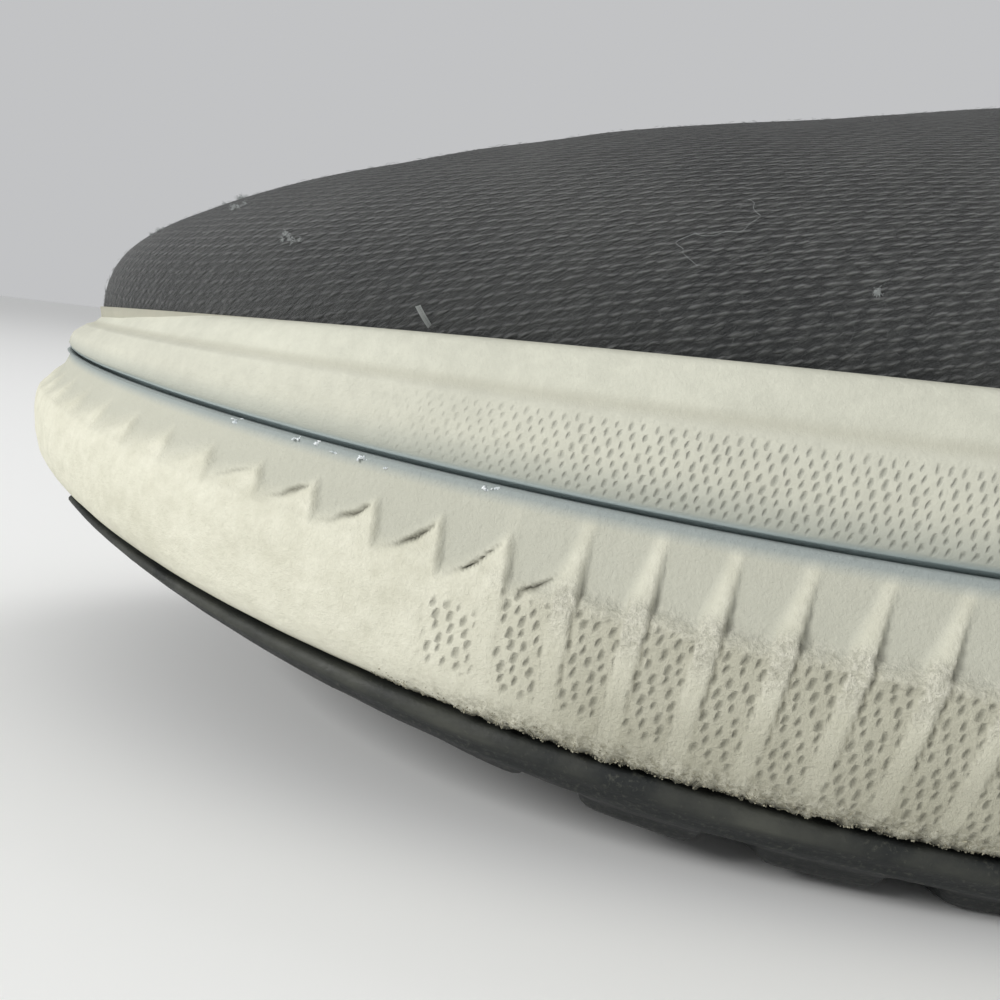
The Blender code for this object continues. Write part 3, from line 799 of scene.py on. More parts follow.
# Part of the way from groove to rim, and how far out from the outline, in millimetres
CUP_UP = (0.0, 0.012, 0.030, 0.08, 0.18, 0.34, 0.48, 0.575, 0.60, 0.63, 0.68, 0.76, 0.85,
          0.93, 0.97, 0.993, 1.0)
CUP_OUT = (GROOVE_OUT, -3.4, -3.08, -2.86, -2.72, -2.65, -2.70, -2.85, -3.05, -3.35, -3.60,
           -3.82, -4.15, -4.65, -5.00, -5.45, -6.0)
# The band stands out more at the toe's tip: millimetres, and where along the outline it stops
TIP_SWELL = 0.4
TIP_SWELL_END = (0.012, 0.040)
# Part of the way up, and how much of the toe's extra inset there is
RIM_LEAN = ((0.0, 0.03, 0.34, 0.60, 0.82), (0.0, 0.0, 0.4, 0.8, 1.0))
CUP_WALL = 12.3 * MM  # the cup's side at the ball, that the dimples' rows are laid out on
COLLAR = (
    (0.136, 0.001, 0.0985),
    (0.147, -0.0165, 0.0945),
    (0.170, -0.0285, 0.0875),
    (0.205, -0.0325, 0.0825),
    (0.240, -0.0305, 0.0855),
    (0.268, -0.0215, 0.0955),
    (0.2800, 0.001, 0.1015),
    (0.268, 0.0225, 0.0955),
    (0.240, 0.0300, 0.0860),
    (0.205, 0.0315, 0.0835),
    (0.170, 0.0285, 0.0885),
    (0.147, 0.0180, 0.0950),
)
COLLAR_RING = Ring(COLLAR)
COLLAR_CROWDING = 0.09
UPPER_INSET = 0.0068
HANDLE_SHARES = (0.0, 0.06, 0.13, 0.29, 0.5)
LOW_HANDLE_UP = (0.028, 0.036, 0.0435, 0.032, 0.028)
LOW_HANDLE_OUT = (0.008, 0.0035, -0.0005, 0.003, 0.0055)
HIGH_HANDLE_DOWN = (0.061, 0.053, 0.0445, 0.021, 0.020)
HIGH_HANDLE_OUT = (0.0405, 0.025, 0.0115, 0.006, 0.0015)


def handle(values, shares):
    """A handle's size at each share: a smooth curve, level at the toe and the heel."""
    shares = 0.5 - np.abs(np.mod(shares, 1.0) - 0.5)
    starts, values = np.array(HANDLE_SHARES), np.array(values)
    slopes = np.zeros(len(starts))
    slopes[1:-1] = (values[2:] - values[:-2]) / (starts[2:] - starts[:-2])
    low = np.clip(np.searchsorted(starts, shares, "right") - 1, 0, len(starts) - 2)
    span = starts[low + 1] - starts[low]
    t = (shares - starts[low]) / span
    leaving, arriving = span * slopes[low], span * slopes[low + 1]
    return hermite(t, values[low], values[low + 1], leaving, arriving)[:, None]


def wall_points(share, climb):
    """Outer face of the upper, from 0 at the foot bed to 1 at the collar."""
    foot_plan = SOLE_RING.at(share) - SOLE_RING.out(share) * UPPER_INSET
    foot = np.column_stack([foot_plan, footbed_height(foot_plan[:, 0]) + FIT_GAP])
    arrival = share - COLLAR_CROWDING * np.sin(2 * np.pi * share)
    top = COLLAR_RING.at(arrival)
    low, high = foot.copy(), top.copy()
    low[:, :2] += SOLE_RING.out(share) * handle(LOW_HANDLE_OUT, share)
    low[:, 2:] += handle(LOW_HANDLE_UP, share)
    high[:, :2] += COLLAR_RING.out(arrival) * handle(HIGH_HANDLE_OUT, share)
    high[:, 2:] -= handle(HIGH_HANDLE_DOWN, share)
    t = climb[:, None]
    return foot * (1 - t) ** 3 + low * 3 * t * (1 - t) ** 2 + high * 3 * t**2 * (1 - t) + top * t**3


def wall_offset_at(share, height_of):
    """How far in from the outline the upper's outer face is at a height."""
    low, high = np.zeros(len(share)), np.full(len(share), 0.5)
    for _ in range(22):
        middle = (low + high) / 2
        point = wall_points(share, middle)
        under = point[:, 2] < height_of(point[:, 0])
        low, high = np.where(under, middle, low), np.where(under, high, middle)
    point = wall_points(share, low)
    return ((point[:, :2] - SOLE_RING.at(share)) * SOLE_RING.out(share)).sum(1)


def place_cup(share, row):
    """Rows from -1, the hidden joint, over the lip at 0 and the rim at 1, to 2, the foot bed."""
    up = np.clip(row, 0, 1)
    along, outer = side_distance(share)
    filled = np.interp(along, *GROOVE_FILL)
    offset = (np.interp(up, CUP_UP, CUP_OUT) + filled * (1 - smooth_step(up, 0.0, 0.03))) * MM
    shallow = 1 - smooth_step(along, *TIP_SWELL_END)
    offset += TIP_SWELL * MM * shallow * between(up, 0.0, 0.045, 0.30, 0.60)
    offset, inner = with_joint(offset, row, filled)
    at_rim = wall_offset_at(share, rim_height) + FIT_GAP
    at_bed = wall_offset_at(share, footbed_height) + FIT_GAP
    inside = np.clip(row - 1, 0, 1)
    to_wall = smooth_step(inside, 0.0, 0.2)
    sunk = smooth_step(inside, 0.2, 1.0)
    offset = np.where(row > 1, offset * (1 - to_wall) + at_rim * to_wall, offset)
    offset = np.where(inside > 0.2, at_rim * (1 - sunk) + at_bed * sunk, offset)

    def height(reach):
        low, high = groove_height(reach) + FIT_GAP, rim_height(reach)
        side = low * (1 - up) + high * up
        side = np.where(row < 0, low * (1 - inner) + (layer_height(reach) + FIT_GAP) * inner, side)
        return np.where(inside > 0.2, high * (1 - sunk) + (footbed_height(reach) + FIT_GAP) * sunk, side)

    leaning = np.interp(up, *RIM_LEAN)
    toe_inset = MIDSOLE_TOE_INSET + (CUP_TOE_INSET - MIDSOLE_TOE_INSET) * leaning
    toe_inset = np.where(row > 1, toe_inset * (1 - to_wall), toe_inset)
    points = sole_point(share, offset, height, toe_inset)
    showing = (row > 0) & (row <= 1.05)
    swell = grain(points, 9 * MM, 21) * 0.16 * MM + grain(points, 1.6 * MM, 22) * 0.03 * MM
    points[:, :2] += SOLE_RING.out(share) * (swell * showing)[:, None]
    fade = np.where(outer > 0, smooth_step(along, 0.054, 0.080), smooth_step(along, 0.020, 0.040))
    values = {
        "dimples": between(up, 0.03, 0.08, 0.50, 0.60) * (0.06 + 0.94 * fade),
        "band": 1 - smooth_step(up, 0.60, 0.66),
        # Painted shade, darker towards the groove
        "low": (1 - smooth_step(up, 0.00, 0.34)) * (row >= 0),
        # Painted bluish-grey shade in the groove
        "groove": 1 - smooth_step(up, 0.0, 0.060),
        "rim": smooth_step(up, 0.60, 0.66),
        # Painted shadow at the step from the band to the rim
        "step": bell(up, 0.655, 0.045),
        # Painted shade where the rim rounds over to the knit
        "edge": smooth_step(row, 0.97, 1.06),
    }
    return points, np.column_stack([share * AROUND, -up * CUP_WALL]), values


cup_rows = np.r_[
    [-1.0, -0.5, 0.0, 0.005, 0.012, 0.02, 0.03, 0.05, 0.08],
    np.linspace(0.14, 0.54, 9),
    [0.56, 0.575, 0.59, 0.605, 0.62, 0.635, 0.655, 0.68, 0.72, 0.77, 0.83, 0.89, 0.93, 0.955],
    [0.972, 0.985, 0.994, 1.0, 1.03, 1.08, 1.14, 1.2, 1.5, 2.0],
]
foam_sidewall = skin(
    "foam_sidewall", shares_with_near_side(0.45 * MM, 1.0 * MM), cup_rows, place_cup
)


def sidewall_foam():
    """The upper foam: a denser skin, so it is smoother and catches a little more light."""
    material, tree, surface, part = moulded_foam(
        "aged_eva_foam_upper", "#DAD9C8", "#CAC9B9",
        (AROUND / 776, 0.80 * MM, 0.22 * MM), (0.29 * MM, 0.115 * MM, 0.26, 0.14),
    )
    colour = overlay(tree, part["base"], (
        ("band", 1.0, 0.35, "#BABAAD"),
        # Painted shade, darker towards the groove
        ("low", 1.0, 0.70, "#9DA29A"),
        ("rim", 1.0, 0.25, "#BDBFB2"),
        # Painted shadow at the step from the band to the rim
        ("step", 1.0, 0.55, "#B3B1A0"),
        # Painted bluish-grey shade in the groove
        ("groove", 1.0, 1.0, "#93A0A1"),
        # Painted shade where the rim rounds over to the knit
        ("edge", 1.0, 0.6, "#8F8B79"),
    ))
    # Painted shade in the pit of each dimple
    pitted = add(tree, "Math", "MULTIPLY", _0=part["dimple"], _1=0.50)
    colour = add(tree, "Mix", "RGBA", Factor=pitted, A=colour, B="#7E8076")
    grit = add(tree, "Math", "MULTIPLY", _0=part["chalk"], _1=0.60)
    raised = add(tree, "Math", "MULTIPLY_ADD", _0=part["mottle"], _1=0.22, _2=grit)
    height = add(tree, "Math", "SUBTRACT", _0=raised, _1=part["dimple"])
    bump = add(tree, "Bump", Height=height, Strength=0.9, Distance=0.00016)
    feed(tree, surface, Base_Color=colour, Roughness=0.74, IOR=1.45, Specular_IOR_Level=0.4,
         Normal=bump)
    return material


foam_sidewall.data.materials.append(sidewall_foam())
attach(foam_sidewall, "root")
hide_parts("sidewall_cup")


# Upper
# Charcoal polyester yarn, knitted whole to the shape of the foot and lined with plain
# jersey. Wear has pilled and faded it, and bending has left soft creases over the ball.
WALL = 0.0024
CUFF_START = 0.895
KNIT_TILT = math.tan(math.radians(17))
TILTED = (0.012, 0.060, 0.150, 0.230)  # along the outline: the tilt starts, is full, fades, ends
COURSE = 0.90 * MM  # from one row of loops to the next
WALE = AROUND / 684  # from one loop to the next in a row
# Creases: middle (x, y) of the trough, its direction, half length, half width, depth
CREASES = (
    ((-0.039, 0.008), (0.10, 1.0), 0.036, 0.0036, 0.0024),
    ((-0.027, -0.004), (-0.08, 1.0), 0.034, 0.0034, 0.0022),
    ((-0.052, 0.018), (0.28, 1.0), 0.022, 0.0036, 0.0013),
    ((-0.031, -0.028), (-0.70, 1.0), 0.018, 0.0034, 0.0013),
    ((-0.017, 0.014), (0.40, 1.0), 0.022, 0.0036, 0.0014),
    ((0.022, -0.043), (1.0, 0.55), 0.022, 0.0044, 0.0017),
    ((0.046, -0.040), (1.0, 0.20), 0.026, 0.0048, 0.0014),
    ((0.024, 0.038), (1.0, -0.50), 0.022, 0.0044, 0.0017),
    ((0.050, 0.036), (1.0, -0.16), 0.026, 0.0048, 0.0014),
    ((0.104, -0.030), (0.55, 0.65), 0.018, 0.0046, 0.0014),
    ((0.106, 0.031), (0.55, -0.65), 0.018, 0.0046, 0.0014),
)
# Where the empty knit has settled over the ball: middle, half width, and depth
BALL_SAG = (-0.044, 0.0150, 0.0032)


def knit_rise(share, climb):
    """Length up the wall, less the tilt that the knit's rows have along the sides."""
    reached = np.zeros(len(share))
    before = wall_points(share, 0 * climb)
    for part in np.linspace(0, 1, 25)[1:]:
        point = wall_points(share, climb * part)
        reached += np.linalg.norm(point - before, axis=1)
        before = point
    along, _ = side_distance(share)
    steps = np.linspace(0, AROUND / 2, 400)
    slope = between(steps, *TILTED)
    total = np.cumsum(slope) * (steps[1] - steps[0]) * KNIT_TILT
    return reached - np.interp(along, steps, total)


def wall_normals(share, climb):
    step = 0.0015
    climb = np.clip(climb, step, 1 - step)
    on = wall_points(share + step, climb) - wall_points(share - step, climb)
    up = wall_points(share, climb + step) - wall_points(share, climb - step)
    normal = np.cross(on, up)
    return normal / np.linalg.norm(normal, axis=1)[:, None]


def crease_depth(points, climb):
    """How far the listed creases push the knit in, or out beside a trough."""
    push = np.zeros(len(points))
    for middle, way, half_length, half_width, depth in CREASES:
        way = np.array(way) / np.hypot(*way)
        place = points[:, :2] - np.array(middle)
        lengthwise = place @ way
        across = place @ np.array([way[1], -way[0]]) + 0.0025 * np.sin(lengthwise / 0.011)
        q = across / half_width
        fade = np.clip(1 - (lengthwise / half_length) ** 2, 0, 1) ** 1.2
        push -= depth * (1 - 1.1 * q**2) * bell(q, 0, 1) * fade
    return push * between(climb, 0.16, 0.34, 0.80, 0.87)


def knit_surface(share, climb, inwards):
    """Points of the worn knit, moved in by the given amount, and the way it faces there."""
    point = wall_points(share, climb)
    normal = wall_normals(share, climb)
    world = to_world(*point.T)
    loose = smooth_step(climb, 0.10, 0.22)
    swell = grain(world, 26 * MM, 31) * 0.45 * MM + grain(world, 8 * MM, 32) * 0.14 * MM
    middle, half_width, sag = BALL_SAG
    sunk = sag * bell(world[:, 0], middle, half_width) * np.clip(normal[:, 2], 0, 1)
    push = swell * loose + crease_depth(world, climb) - sunk - inwards
    world = world + normal * push[:, None]
    world[:, 2] = np.maximum(world[:, 2], footbed_height(point[:, 0]) + FIT_GAP * 0.9)
    return world, normal, point


def place_upper(share, row):
    """Rows 0 to 1 climb the outer face, and 1 to 2 go down the lining."""
    climb = CUFF_START * np.where(row <= 1, row, 2 - row)
    world, _, point = knit_surface(share, climb, np.where(row > 1, WALL, 0.0))
    sizes = np.column_stack([np.mod(share, 2.0) * AROUND, knit_rise(share, climb)])
    low = 1 - smooth_step(world[:, 2] - rim_height(point[:, 0]), 0.0, 0.010)
    toe = 1 - smooth_step(point[:, 0], 0.012, 0.060)
    folded = crease_depth(to_world(*point.T), climb)
    return world, sizes, {
        "inside": (row > 1.0) * 1.0,
        "low": low,
        "toe": toe,
        # Painted shade in the creases
        "trough": np.clip(-folded / (1.4 * MM), 0, 1),
        # Painted highlight with rubbed yarn along the creases' ridges
        "ridge": np.clip(folded / (0.35 * MM), 0, 1),
    }


upper_rows = np.r_[
    np.linspace(0, 0.10, 6),
    np.linspace(0.10, 1.0, 96)[1:],
    [1.004],
    np.linspace(1.03, 2.0, 26),
]
knit_upper = skin(
    "knit_upper", shares_with_near_side(0.95 * MM, 1.45 * MM), upper_rows, place_upper, True
)


def knitted_yarn():
    """Polyester yarn, knitted: short floats with painted highlight on their crests and painted shade in
    the gaps, matt with a dull fuzzy sheen.
    """
    material, tree, surface = finish("charcoal_knit")
    place = add(tree, "TexCoord").outputs["Object"]
    metres = add(tree, "UVMap", "surface").outputs["UV"]
    wobble = add(tree, "TexNoise", Vector=place, Scale=700, Detail=3)
    drift = add(tree, "VectorMath", "SCALE", _0=wobble.outputs["Color"], Scale=0.00055)
    bent = add(tree, "VectorMath", "ADD", _0=metres, _1=drift)
    stitch, cell = lattice(tree, bent, WALE, COURSE / 2, 0.36 * MM, 0.42 * MM, 0.20 * MM,
                           math.radians(-82), 0.45)
    # Loops and rows lighter on their crests and darker in the gaps: painted highlight and painted shade,
    # with the yarn's own ply
    loop = add(tree, "MapRange", "SMOOTHSTEP",
               Value=stitch, From_Min=0.0, From_Max=1.35, To_Min=1.0, To_Max=0.0)
    by_loop = add(tree, "SeparateColor", Color=cell.outputs["Color"]).outputs[0]
    bright = add(tree, "MapRange", Value=by_loop, To_Min=0.45, To_Max=1.15)
    loop = add(tree, "Math", "MULTIPLY", _0=loop, _1=bright)
    turned = add(tree, "Mapping", "TEXTURE", Vector=metres,
                 Rotation=(0, 0, math.radians(42)), Scale=(2.6, 1, 1))
    ply = add(tree, "TexNoise", Vector=turned, Scale=4400, Detail=4, Roughness=0.75)
    parts = add(tree, "SeparateXYZ", Vector=bent)
    turn = add(tree, "Math", "MULTIPLY_ADD",
               _0=parts.outputs["Y"], _1=2 * math.pi / COURSE, _2=1.1)
    wave = add(tree, "Math", "SINE", _0=turn)
    row = add(tree, "MapRange", Value=wave, From_Min=-1, From_Max=1, To_Min=0.0, To_Max=1.0)
    crown = add(tree, "Math", "MULTIPLY_ADD", _0=row, _1=0.85, _2=0.45)
    high = add(tree, "Math", "MULTIPLY", _0=loop, _1=crown)
    ridged = add(tree, "Math", "MULTIPLY_ADD", _0=row, _1=0.42, _2=high)
    wale_turn = add(tree, "Math", "MULTIPLY",
                    _0=parts.outputs["X"], _1=math.pi / WALE)
    wale = add(tree, "Math", "SINE", _0=wale_turn)
    columns = add(tree, "Math", "MULTIPLY_ADD", _0=wale, _1=0.17, _2=ridged)
    lit = add(tree, "Math", "MULTIPLY_ADD", _0=ply, _1=1.45, _2=columns)
    heather = add(tree, "TexNoise", Vector=place, Scale=260, Detail=5, Roughness=0.65)
    mixed = add(tree, "Math", "MULTIPLY_ADD", _0=heather, _1=0.75, _2=lit)
    along = add(tree, "Mapping", Vector=metres, Scale=(60, 900, 1))
    uneven = add(tree, "TexNoise", Vector=along, Scale=1.0, Detail=2, Roughness=0.5)
    shift = add(tree, "Math", "MULTIPLY_ADD", _0=uneven, _1=0.45, _2=mixed)
    tone = add(tree, "MapRange", Value=shift, From_Min=1.56, From_Max=2.60)
    toe = add(tree, "Attribute", "toe").outputs["Fac"]
    blur = add(tree, "Math", "MULTIPLY", _0=toe, _1=0.62)
    softened = add(tree, "Mix", "FLOAT", Factor=blur, A=tone, B=0.22)
    # Yarn colour from the painted stitch highlight and shade, heather and uneven dye
    yarn = add(tree, "Mix", "RGBA", Factor=softened, A="#151818", B="#6C6E6B")
    lining = add(tree, "Mix", "RGBA", Factor=ply, A="#2C2E30", B="#4A4C4E")
    inside = add(tree, "Attribute", "inside").outputs["Fac"]
    colour = add(tree, "Mix", "RGBA", Factor=inside, A=yarn, B=lining)
    fade = add(tree, "TexNoise", Vector=place, Scale=60, Detail=4, Roughness=0.6)
    faded = add(tree, "MapRange", Value=fade, From_Min=0.40, From_Max=0.70, To_Max=0.30)
    colour = add(tree, "Mix", "RGBA", Factor=faded, A=colour, B="#6B6C68")
    # Darker low down by the rim, painted shade in the creases, and paler along their ridges: painted
    # highlight and rubbed yarn
    colour = overlay(tree, colour, (
        ("low", 1.0, 0.40, "#26292A"),
        ("trough", 1.0, 0.35, "#232526"),
        ("ridge", 1.0, 0.30, "#7A7B77"),
    ))
    bump = add(tree, "Bump", Height=lit, Strength=1.0, Distance=0.00031)
    feed(tree, surface, Base_Color=colour, Roughness=0.92, Specular_IOR_Level=0.25,
         Sheen_Weight=0.25, Sheen_Roughness=0.55, Normal=bump)
    return material


knit_material = knitted_yarn()
knit_upper.data.materials.append(knit_material)
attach(knit_upper, "root")
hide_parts("upper")


# Cuff
# The same yarn knitted as a two by two rib, doubled over into a soft welt. It is knitted on
# in one piece with the upper and stands slightly proud of it.
CUFF_WALL = 0.0036
CUFF_STEP = 0.0007
CUFF_RIBS = 150
CUFF_RIB_HEIGHT = 0.00038


def place_cuff(share, row):
    """Rows 0 to 1 climb the outer face, 1 to 2 go over the welt, 2 to 3 down inside."""
    start = CUFF_START - 0.012
    up = np.clip(row, 0, 1)
    over = np.clip(row - 1, 0, 1)
    down = np.clip(row - 2, 0, 1)
    round_part = 0.96
    climb = start + (round_part - start) * np.where(row <= 1, up, 1 - down)
    point = wall_points(share, climb)
    arrival = share - COLLAR_CROWDING * np.sin(2 * np.pi * share)
    outward = np.column_stack([COLLAR_RING.out(arrival), 0 * share])
    rise = wall_points(share, np.ones(len(share))) - wall_points(share, np.full(len(share), round_part))
    middle = point + outward * (CUFF_STEP - CUFF_WALL / 2)
    angle = np.where((row > 1) & (row < 2), over * np.pi, np.where(row >= 2, np.pi, 0.0))
    side = np.cos(angle) * CUFF_WALL / 2
    lift = np.sin(angle)
    entering = smooth_step(row, 0, 0.10)
    leaving = 1 - smooth_step(row, 2.9, 3.0)
    ribs = 0.5 + 0.5 * np.cos(2 * np.pi * CUFF_RIBS * share)
    ribs = smooth_step(ribs, 0.15, 0.85) * CUFF_RIB_HEIGHT * entering * leaving
    tuck = -0.0009 * (1 - entering)
    point = middle + outward * (side + np.sign(side) * (ribs - CUFF_RIB_HEIGHT) + tuck)[:, None]
    point = point + rise * lift[:, None]
    world = to_world(*point.T)
    sizes = np.column_stack([np.mod(share, 2.0) * AROUND * 0.55, row * 0.011])
    return world, sizes, {}


cuff_rows = np.r_[
    [0, 0.03, 0.06, 0.10, 0.2, 0.35, 0.5, 0.65, 0.8, 0.92, 1.0],
    np.linspace(1.0, 2.0, 10)[1:-1],
    [2.0, 2.2, 2.5, 2.8, 2.9, 2.95, 3.0],
]
ribbed_cuff = skin("ribbed_cuff", np.linspace(0, 1, CUFF_RIBS * 8 + 1), cuff_rows, place_cuff, True)
ribbed_cuff.data.materials.append(knit_material)
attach(ribbed_cuff, "root")
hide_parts("upper")


# Insole
# Open-cell foam, die cut and faced with dark jersey, laid loose on the foot bed. A foot has
# pressed it down under the heel and the ball.
INSOLE = 0.0040
INSOLE_IN = UPPER_INSET + WALL + 0.0010
PRESSED = (((0.092, 0.001), 0.026, 0.0012), ((-0.052, 0.0), 0.034, 0.0010))


def place_insole(part, row):
    """A sheet read by reach, 0 to 1, and from the outer, 0, to the inner side, 1, and back."""
    reach = 0.0105 + (LENGTH - 0.021) * (0.5 - 0.5 * np.cos(np.pi * np.clip(part, 0, 1)))
    inset = INSOLE_IN + 0 * reach
    outer, inner = edge_points(reach, False, inset), edge_points(reach, True, inset)
    across = np.clip(row, 0, 1)
    plan = outer * (1 - across)[:, None] + inner * across[:, None]
    world = to_world(plan[:, 0], plan[:, 1], footbed_height(plan[:, 0]) + FIT_GAP + INSOLE)
    for middle, size, depth in PRESSED:
        away = np.hypot(world[:, 0] - middle[0], world[:, 1] - middle[1]) / size
        world[:, 2] -= depth * bell(away, 0, 1)
    edge = np.minimum(across, 1 - across)
    world[:, 2] -= 0.0008 * (1 - smooth_step(edge, 0.0, 0.05))
    world[:, 2] += grain(world, 12 * MM, 41) * 0.12 * MM
    return world


def sheet(name, columns, rows, place, thickness):
    """A flat piece from a grid that isn't closed, with a wall below it."""
    grid = bmesh.new()
    bmesh.ops.create_grid(grid, x_segments=columns, y_segments=rows, size=1)
    flat = np.array([v.co for v in grid.verts])
    points = place((flat[:, 0] + 1) / 2, (flat[:, 1] + 1) / 2)
    for vert, point in zip(grid.verts, points):
        vert.co = point
    bmesh.ops.remove_doubles(grid, verts=grid.verts, dist=2e-5)
    bmesh.ops.recalc_face_normals(grid, faces=grid.faces)
    if sum(f.normal.z for f in grid.faces) < 0:
        bmesh.ops.reverse_faces(grid, faces=grid.faces)
    piece = as_piece(name, grid)
    wall = piece.modifiers.new("thickness", "SOLIDIFY")
    wall.thickness = thickness
    wall.offset = -1
    return piece


insole_sheet = sheet("insole_sheet", 120, 44, place_insole, 0.0034)


def worn_jersey():
    """Jersey over foam, knitted fine and flat: dull, in mottled greys."""
    material, tree, surface = finish("worn_jersey")
    place = add(tree, "TexCoord").outputs["Object"]
    weave = add(tree, "TexVoronoi", Vector=place, Scale=1300, Randomness=0.5)
    clouds = add(tree, "TexNoise", Vector=place, Scale=55, Detail=4)
    tone = add(tree, "Math", "MULTIPLY", _0=weave.outputs["Distance"], _1=clouds)
    spread = add(tree, "MapRange", Value=tone, From_Min=0.05, From_Max=0.45)
    colour = add(tree, "Mix", "RGBA", Factor=spread, A="#2A2B2D", B="#55565A")
    bump = add(tree, "Bump", Height=weave.outputs["Distance"], Strength=0.7, Distance=0.0002)
    feed(tree, surface, Base_Color=colour, Roughness=0.9, Sheen_Weight=0.2, Normal=bump)
    return material


insole_sheet.data.materials.append(worn_jersey())
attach(insole_sheet, "root")
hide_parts("insole")


# Lint
# Broken ends of the yarn that stand up from the knit as fuzz, with paler household lint
# caught on the toe, one long stray thread, and one stiff hair stuck at the rim.
FUZZ_COUNT = 8400
# Tufts of caught lint: along the outline from the tip, the climb, and how wide each is
TUFTS = (
    (-0.0185, 0.200, 0.9),
    (-0.0160, 0.130, 0.7),
    (-0.0110, 0.215, 0.8),
    (-0.0080, 0.165, 0.5),
    (-0.0025, 0.160, 1.0),
    (-0.0005, 0.235, 0.9),
    (0.0040, 0.190, 0.5),
    (0.0085, 0.250, 0.7),
    (0.0130, 0.150, 0.4),
    (0.0190, 0.215, 0.5),
    (0.0260, 0.180, 0.4),
    (0.0400, 0.130, 0.5),
)
FLECK = (0.0870, 0.135, 0.10)
STRAY_THREAD = (
    (0.0720, 0.205),
    (0.0738, 0.196),
    (0.0747, 0.184),
    (0.0744, 0.172),
    (0.0730, 0.166),
    (0.0716, 0.166),
    (0.0712, 0.157),
    (0.0724, 0.146),
    (0.0741, 0.139),
)
STIFF_HAIR = (0.0580, 0.068)


def fibre(curve, points, radius):
    spline = curve.splines.new("POLY")
    spline.points.add(len(points) - 1)
    for slot, point in zip(spline.points, points):
        slot.co = (*point, 1)
        slot.radius = radius


def as_mesh(name, curve, material):
    """Turns a bundle of fibres into one mesh piece on the root body."""
    curve.dimensions = "3D"
    curve.bevel_depth = 1.0
    curve.bevel_resolution = 0
    curve.use_fill_caps = True
    bundle = bpy.data.objects.new(name + "_curve", curve)
    bpy.context.scene.collection.objects.link(bundle)
    evaluated = bundle.evaluated_get(bpy.context.evaluated_depsgraph_get())
    mesh = bpy.data.meshes.new_from_object(evaluated)
    bpy.data.objects.remove(bundle)
    bpy.data.curves.remove(curve)
    mesh.name = name
    mesh.materials.clear()
    mesh.materials.append(material)
    piece = bpy.data.objects.new(name, mesh)
    bpy.context.scene.collection.objects.link(piece)
    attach(piece, "root")
    return piece


def spun_fibre(name, dark, light):
    """A single polyester fibre: translucent in life, so it is drawn pale, matt and soft."""
    material, tree, surface = finish(name)
    place = add(tree, "TexCoord").outputs["Object"]
    patches = add(tree, "TexNoise", Vector=place, Scale=500, Detail=2)
    colour = add(tree, "Mix", "RGBA", Factor=patches, A=dark, B=light)
    feed(tree, surface, Base_Color=colour, Roughness=0.8, Sheen_Weight=0.3)
    return material


chance = np.random.default_rng(7)
near_count = FUZZ_COUNT * 2 // 3
fuzz_share = chance.uniform(0.0, 1.0, FUZZ_COUNT)
fuzz_share[:near_count] = chance.uniform(-0.03, 0.18, near_count)
fuzz_climb = chance.uniform(0.04, 0.88, FUZZ_COUNT)
fuzz_climb[:near_count] = chance.uniform(0.03, 0.60, near_count)
roots, ways, _ = knit_surface(fuzz_share, fuzz_climb, 0.04 * MM)
fuzz_curve = bpy.data.curves.new("fuzz", "CURVE")
for root, way in zip(roots, ways):
    lean = chance.normal(size=3)
    lean -= way * (lean @ way)
    lean /= np.linalg.norm(lean)
    curl = np.cross(way, lean) * chance.uniform(-0.6, 0.6)
    long = chance.uniform(0.22, 0.62) * MM
    arch = chance.uniform(0.15, 0.60)
    steps = np.linspace(0, 1, 3)[:, None]
    line = root + long * (steps * lean + steps**2 * curl + way * arch * steps * (1.6 - steps))
    fibre(fuzz_curve, line, 0.010 * MM)
fuzz_fibres = as_mesh("fuzz_fibres", fuzz_curve, spun_fibre("loose_yarn_ends", "#4A4D4C", "#767977"))

lint_curve = bpy.data.curves.new("lint", "CURVE")
for along, climb, wide in (*TUFTS, FLECK):
    places = along / AROUND + chance.normal(size=6) * 1.6 * wide * MM / AROUND
    climbs = climb + chance.normal(size=6) * 0.012 * wide
    knots, ways, _ = knit_surface(places, climbs, -0.05 * MM)
    for knot, way in zip(knots, ways):
        size = chance.uniform(0.07, 0.13) * MM
        for _ in range(14):
            start = knot + chance.normal(size=3) * size
            start += way * (0.05 * MM - (start - knot) @ way * 0.6)
            bend = chance.normal(size=(2, 3)) * size * 1.2
            steps = np.linspace(0, 1, 4)[:, None]
            line = start + steps * bend[0] + steps * (1 - steps) * 2.5 * bend[1]
            fibre(lint_curve, line, 0.013 * MM)
thread = np.array(STRAY_THREAD)
knots = np.arange(len(thread))
fine = np.linspace(0, len(thread) - 1, 60)
route, _, _ = knit_surface(
    (np.interp(fine, knots, thread[:, 0]) + 0.15 * MM * np.sin(fine * 5.1)) / AROUND,
    np.interp(fine, knots, thread[:, 1]) + 0.0015 * np.sin(fine * 3.7 + 1),
    -0.16 * MM,
)
fibre(lint_curve, route, 0.011 * MM)
foot, way, _ = knit_surface(np.array([STIFF_HAIR[0] / AROUND]), np.array([STIFF_HAIR[1]]), 0.0)
hair_way = way[0] * 0.35 + np.array([-0.62, -0.12, 0.80])
steps = np.linspace(-0.25, 1, 6)[:, None]
hair = foot[0] + 1.5 * MM * (steps * hair_way + np.array([0.10, 0, 0]) * steps**2)
for shift in (-0.14, -0.07, 0.0, 0.08, 0.15):
    fibre(lint_curve, hair + np.array([shift * MM, 0, shift * 0.4 * MM]), 0.032 * MM)
lint_tufts = as_mesh("lint_tufts", lint_curve, spun_fibre("caught_lint", "#8E9392", "#C9CDCB"))


